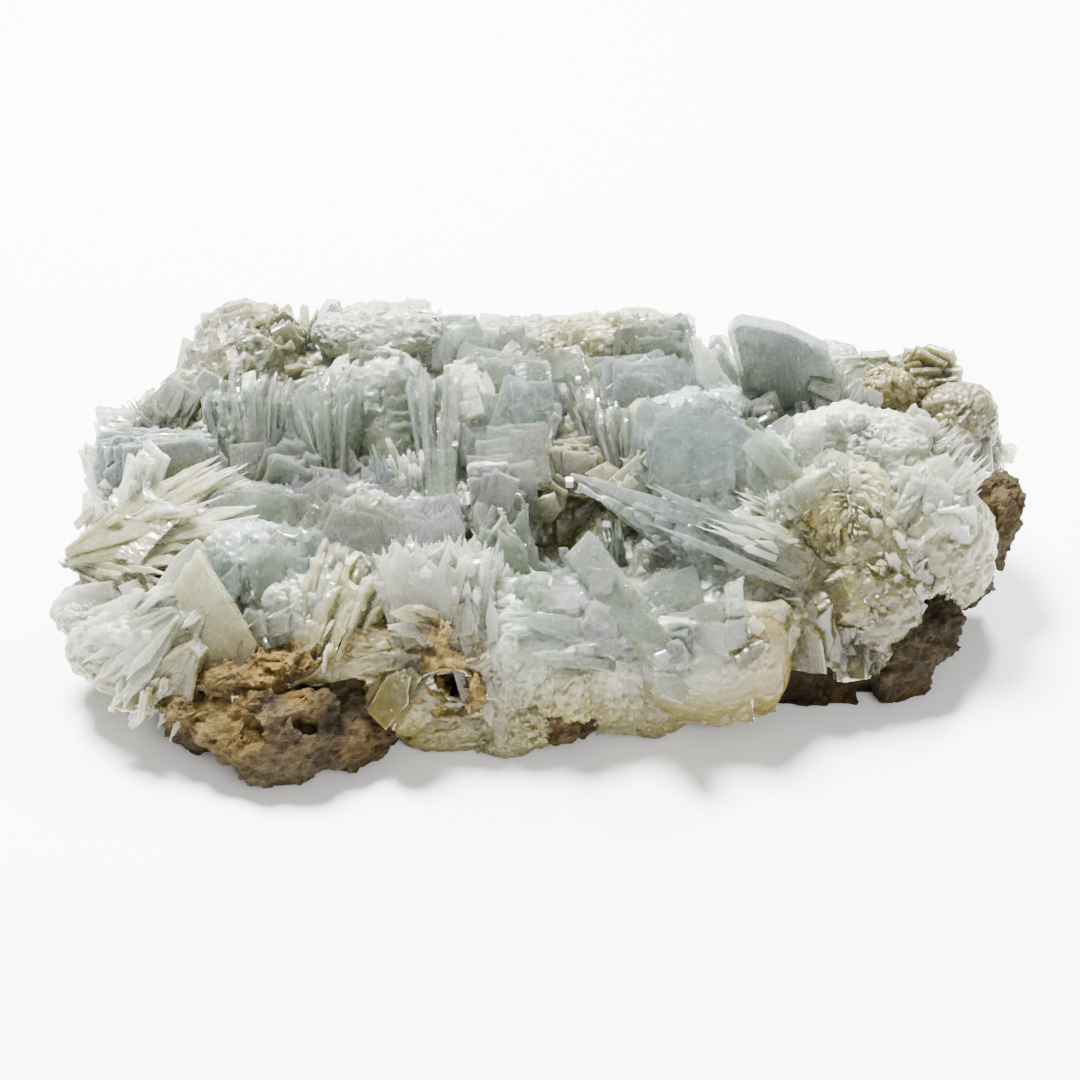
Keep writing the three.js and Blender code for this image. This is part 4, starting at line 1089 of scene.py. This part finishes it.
def granular_material():
    """The masses that the plates stand in: the same mineral, finely grained and stained."""
    material, tree, shader = new_material("barite_granular", 0.34, BARITE_IOR)
    place = object_place(tree)
    grains = step_node(tree, place, 650)
    small_grains = step_node(tree, place, 1500)
    clouds = noise_node(tree, place, 180, 6)
    colour = layered(tree, "MULTIPLY", tint_colour(tree), clouds, "dad7c6", 0.32, 0.68)
    colour = layered(tree, "MULTIPLY", colour, grains, "cfd1c6", most=0.6)
    colour = layered(tree, "MULTIPLY", colour, small_grains, "d4d5c9", most=0.5)
    tree.links.new(colour, shader.inputs["Base Color"])
    tree.links.new(ramp_node(tree, grains, 0, 1, 0.2, 0.5), shader.inputs["Roughness"])
    uneven = noise_node(tree, place, 420, 6, 0.65)
    normal = bumped(tree, (uneven, 0.0003), (grains, 0.00022), (small_grains, 0.00012))
    tree.links.new(normal, shader.inputs["Normal"])
    translucent(shader, transmission=0.5, radius=(1.0, 1.0, 0.85), scale=0.003)
    return material


# Grains of the rock: (how they are laid on, scale, detail and roughness of their noise, the range of
# it that they span, their greatest share, colour)
ROCK_GRAINS = [
    ("MIX", 130, 6, 0.55, (0.55, 0.72), 0.6, "5f451a"),
    ("MIX", 95, 6, 0.65, (0.5, 0.68), 0.55, "564b36"),
    ("MIX", 170, 7, 0.7, (0.56, 0.7), 0.75, "1d150d"),
    ("MULTIPLY", 620, 4, 0.7, (0.35, 0.7), 1, "a59c90"),
]


def rock_material():
    """The matrix: brown, with paler and darker grains over the colours of its patches."""
    material, tree, shader = new_material("iron_stained_rock", 0.85, DULL_IOR)
    place = object_place(tree)
    colour = tint_colour(tree)
    for mode, scale, detail, rough, (low, high), share, code in ROCK_GRAINS:
        grains = noise_node(tree, place, scale, detail, rough)
        colour = layered(tree, mode, colour, grains, code, low, high, share)
    tree.links.new(colour, shader.inputs["Base Color"])
    coarse, fine = noise_node(tree, place, 260, 8, 0.7), noise_node(tree, place, 1200, 4)
    tree.links.new(bumped(tree, (coarse, 0.0014), (fine, 0.0003)), shader.inputs["Normal"])
    shader.inputs["Specular IOR Level"].default_value = 0.2
    return material


def remeshed(name, node, voxel, masses=()):
    """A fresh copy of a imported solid, if one is named, with masses added, remeshed in even small faces."""
    body = bmesh.new()
    if node:
        body.from_mesh(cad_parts[node].data)
    for mass in masses:
        corners = [body.verts.new(point) for point in mass.vertices * MM]
        for face in mass.faces:
            body.faces.new([corners[i] for i in face])
    mesh = bpy.data.meshes.new(name)
    body.to_mesh(mesh)
    body.free()
    thing = with_modifier(linked(name, mesh), "REMESH", mode="VOXEL", voxel_size=voxel * MM)
    thing.data.name = name
    thing.data.materials.clear()
    return thing


def roughened(mesh, relief, inward):
    """Moves each vertex along its normal by the relief there, less inward, and returns the new points.
    The flat base stays as it is, and nothing else comes down to it."""
    points = read(mesh.vertices, "co", width=3) / MM
    moves = np.array([relief(Vector(point)) for point in points]) - inward
    moved = points + read(mesh.vertices, "normal", width=3) * moves[:, None]
    moved[:, 2] = np.where(points[:, 2] < BASE_HEIGHT, points[:, 2], np.maximum(moved[:, 2], BASE_GAP))
    mesh.vertices.foreach_set("co", (moved * MM).ravel())
    mesh.update()
    return moved


def sunken(point, pits):
    """How far pits sink the surface at a point."""
    return sum(depth * math.exp(-((point - Vector(placed(*place))).length / radius) ** 2)
               for place, radius, depth in pits)


def crust_relief(point):
    return 0.4 * folded(point) - 0.2 - sunken(point, CAVES)


def rock_relief(point):
    """Blocks with cracks between them, ridges, chips, grain and pits."""
    near, far = noise.voronoi(point * 0.13)[0][:2]
    blocks = 1.2 * min(1, 2.5 * (far - near))
    ridges = 0.5 * (noise.ridged_multi_fractal(point * 0.1, 0.9, 2.1, 4, 1.0, 2.0) - 2)
    chips = 1.1 * noise.voronoi(point * 0.4)[0][0]
    return blocks + ridges - chips + 0.7 * noise.noise(point * 0.9) - sunken(point, PITS)


def ochre_relief(point):
    bumps = 0.7 * noise.noise(point * 0.5) + 0.5 * noise.noise(point * 1.4)
    return bumps - 0.6 * noise.voronoi(point * 0.6)[0][0]


def crust_piece():
    """The crystals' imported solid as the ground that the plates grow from, in the tints of the books there."""
    thing = remeshed("crystal_crust", "barite_crystals", voxel=0.95)
    points = roughened(thing.data, crust_relief, inward=0.9)
    nearest = [NEIGHBOURS.nearest(point)[0] for point in points]
    colour = np.array([linear(TINTS[book.tint][0]) for book in NEIGHBOURS.books])[nearest]
    # the tints, with the base's stain, the painted shade of the hollows, and the stains and painted shade of
    # the caves
    set_colours(thing.data, "POINT", patched(darkened(colour, points), points, STAINS))
    thing.data.materials.append(GRANULAR)
    return thing


def rock_piece(name, node, masses, relief, code, patches, voxel, inward):
    """A piece of rock: masses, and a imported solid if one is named, roughened, in one colour with patches."""
    thing = remeshed(name, node, voxel, [Mass(*row) for row in masses])
    points = roughened(thing.data, relief, inward)
    set_colours(thing.data, "POINT", patched(np.tile(linear(code), (len(points), 1)), points, patches))
    thing.data.materials.append(rock_material())
    return thing


def plates_piece(name, plates):
    """The plates and lumps of a region as one closed mesh, each in its own material."""
    thing = united(name, plates)
    paint(thing.data, plates)
    looks = np.array([plate.look for plate in plates], np.int32)
    marks = read(thing.data.attributes["mark"].data, "value", int)
    thing.data.materials.clear()
    for material in (MILKY, CLEAR, GRANULAR):
        thing.data.materials.append(material)
    thing.data.polygons.foreach_set("material_index", looks[marks // 2])
    thing.data.attributes.remove(thing.data.attributes["mark"])
    return thing


def floor_piece():
    mesh = bpy.data.meshes.new("floor")
    corners = [(-FLOOR_REACH, -FLOOR_REACH, 0), (FLOOR_REACH, -FLOOR_REACH, 0),
               (FLOOR_REACH, FLOOR_REACH, 0), (-FLOOR_REACH, FLOOR_REACH, 0)]
    mesh.from_pydata(corners, [], [(0, 1, 2, 3)])
    material, _, shader = new_material("pale_floor", 0.9, DULL_IOR)
    shader.inputs["Base Color"].default_value = (0.9, 0.9, 0.9, 1)
    mesh.materials.append(material)
    floor = linked("floor", mesh)


def area_light(name, place, size, watts):
    """A round light that faces the part."""
    light = bpy.data.lights.new(name, "AREA")
    light.shape = "DISK"
    light.size = size
    light.energy = watts
    thing = linked(name, light)
    thing.location = place
    thing.rotation_euler = (Vector(LIT_POINT) - Vector(place)).to_track_quat("-Z", "Y").to_euler()


def studio():
    """Soft light from above and the left, with a weak fill, over a pale floor."""
    floor_piece()
    world = bpy.data.worlds.new("studio")
    world.use_nodes = True
    background = world.node_tree.nodes["Background"]
    background.inputs["Color"].default_value = (1.0, 0.99, 0.97, 1)
    background.inputs["Strength"].default_value = 0.7
    bpy.context.scene.world = world
    area_light("key", (-0.2, 0.25, 0.75), size=0.28, watts=68)
    area_light("glint", (0.25, 0.5, 0.6), size=0.1, watts=18)
    area_light("fill", (0.3, -0.6, 0.5), size=0.5, watts=4)


def camera():
    data = bpy.data.cameras.new("camera")
    data.sensor_width = SENSOR
    data.lens = SENSOR * VIEW_FOCAL / VIEW_UNITS
    data.clip_start = 0.01
    thing = linked("camera", data)
    thing.location = (EYE - MID) * MM
    thing.rotation_euler = (math.pi / 2 - VIEW_ELEVATION, 0, 0)
    bpy.context.scene.camera = thing


def placed_book(name, outline, tint, root, tip, *rest):
    """A book whose root and tip are places in the view."""
    return Book(name, outline, tint, placed(*root), placed(*tip), *rest)


def wall_book(name, outline, tint, root, tip, *rest):
    """A book of the back, whose root and tip are in millimetres."""
    return Book(name, outline, tint, np.array(root) - MID, np.array(tip) - MID, *rest)


noise.seed_set(SEED)  # noise_vector would draw from the clock otherwise
camera()
studio()

MILKY = crystal_material("barite_milky", transmission=0.65, roughness=0.22)
CLEAR = crystal_material("barite_clear", transmission=0.88, roughness=0.16)
GRANULAR = granular_material()

books = {name: [placed_book(*row) for row in rows] for name, rows in REGIONS.items()}
books["back_wall"] = [wall_book(*row) for row in BACK_WALL]
NEIGHBOURS = Neighbours([book for region in books.values() for book in region])
region_of = [name for name, region in books.items() for _ in region]

plates = {name: [plate for book in region for plate in grown(book, random.Random(book.name))]
          for name, region in books.items()}
for name, rows in LUMPS.items():
    for row in rows:
        lump = Lump(*row)
        plates[name] += [lump, *lump.small_plates(random.Random(lump.name))]
bare = [(placed(*place), radius) for place, radius in BARE]
source = random.Random(SEED)
for point, outward in surface_points(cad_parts["barite_crystals"].data, GROUND_COUNT, source):
    nearest, inside = NEIGHBOURS.nearest(point)
    if inside or outward[2] < STEEPEST_DOWN or point[2] < GROUND_LOWEST:
        continue
    if any(np.linalg.norm(point - place) < radius for place, radius in bare):
        continue
    plates[region_of[nearest]].append(ground_plate(point, outward, NEIGHBOURS.books[nearest], source))
HOLLOWS = Hollows(np.concatenate([plate.vertices for region in plates.values() for plate in region]))

rock = rock_piece("matrix_rock", "matrix", ROCK_MASSES, rock_relief, ROCK_BROWN, ROCK_PATCHES,
                  voxel=0.8, inward=0.1)
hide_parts("matrix")
ochre = rock_piece("ochre_crust", None, OCHRE_MASSES, ochre_relief, OCHRE_BROWN, OCHRE_PATCHES,
                   voxel=0.4, inward=0.2)
crystals = [crust_piece()] + [plates_piece("plates_" + name, region) for name, region in plates.items()]
for piece in crystals:
    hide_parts("barite_crystals")
for piece in (rock, ochre, *crystals):
    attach(piece, "root")
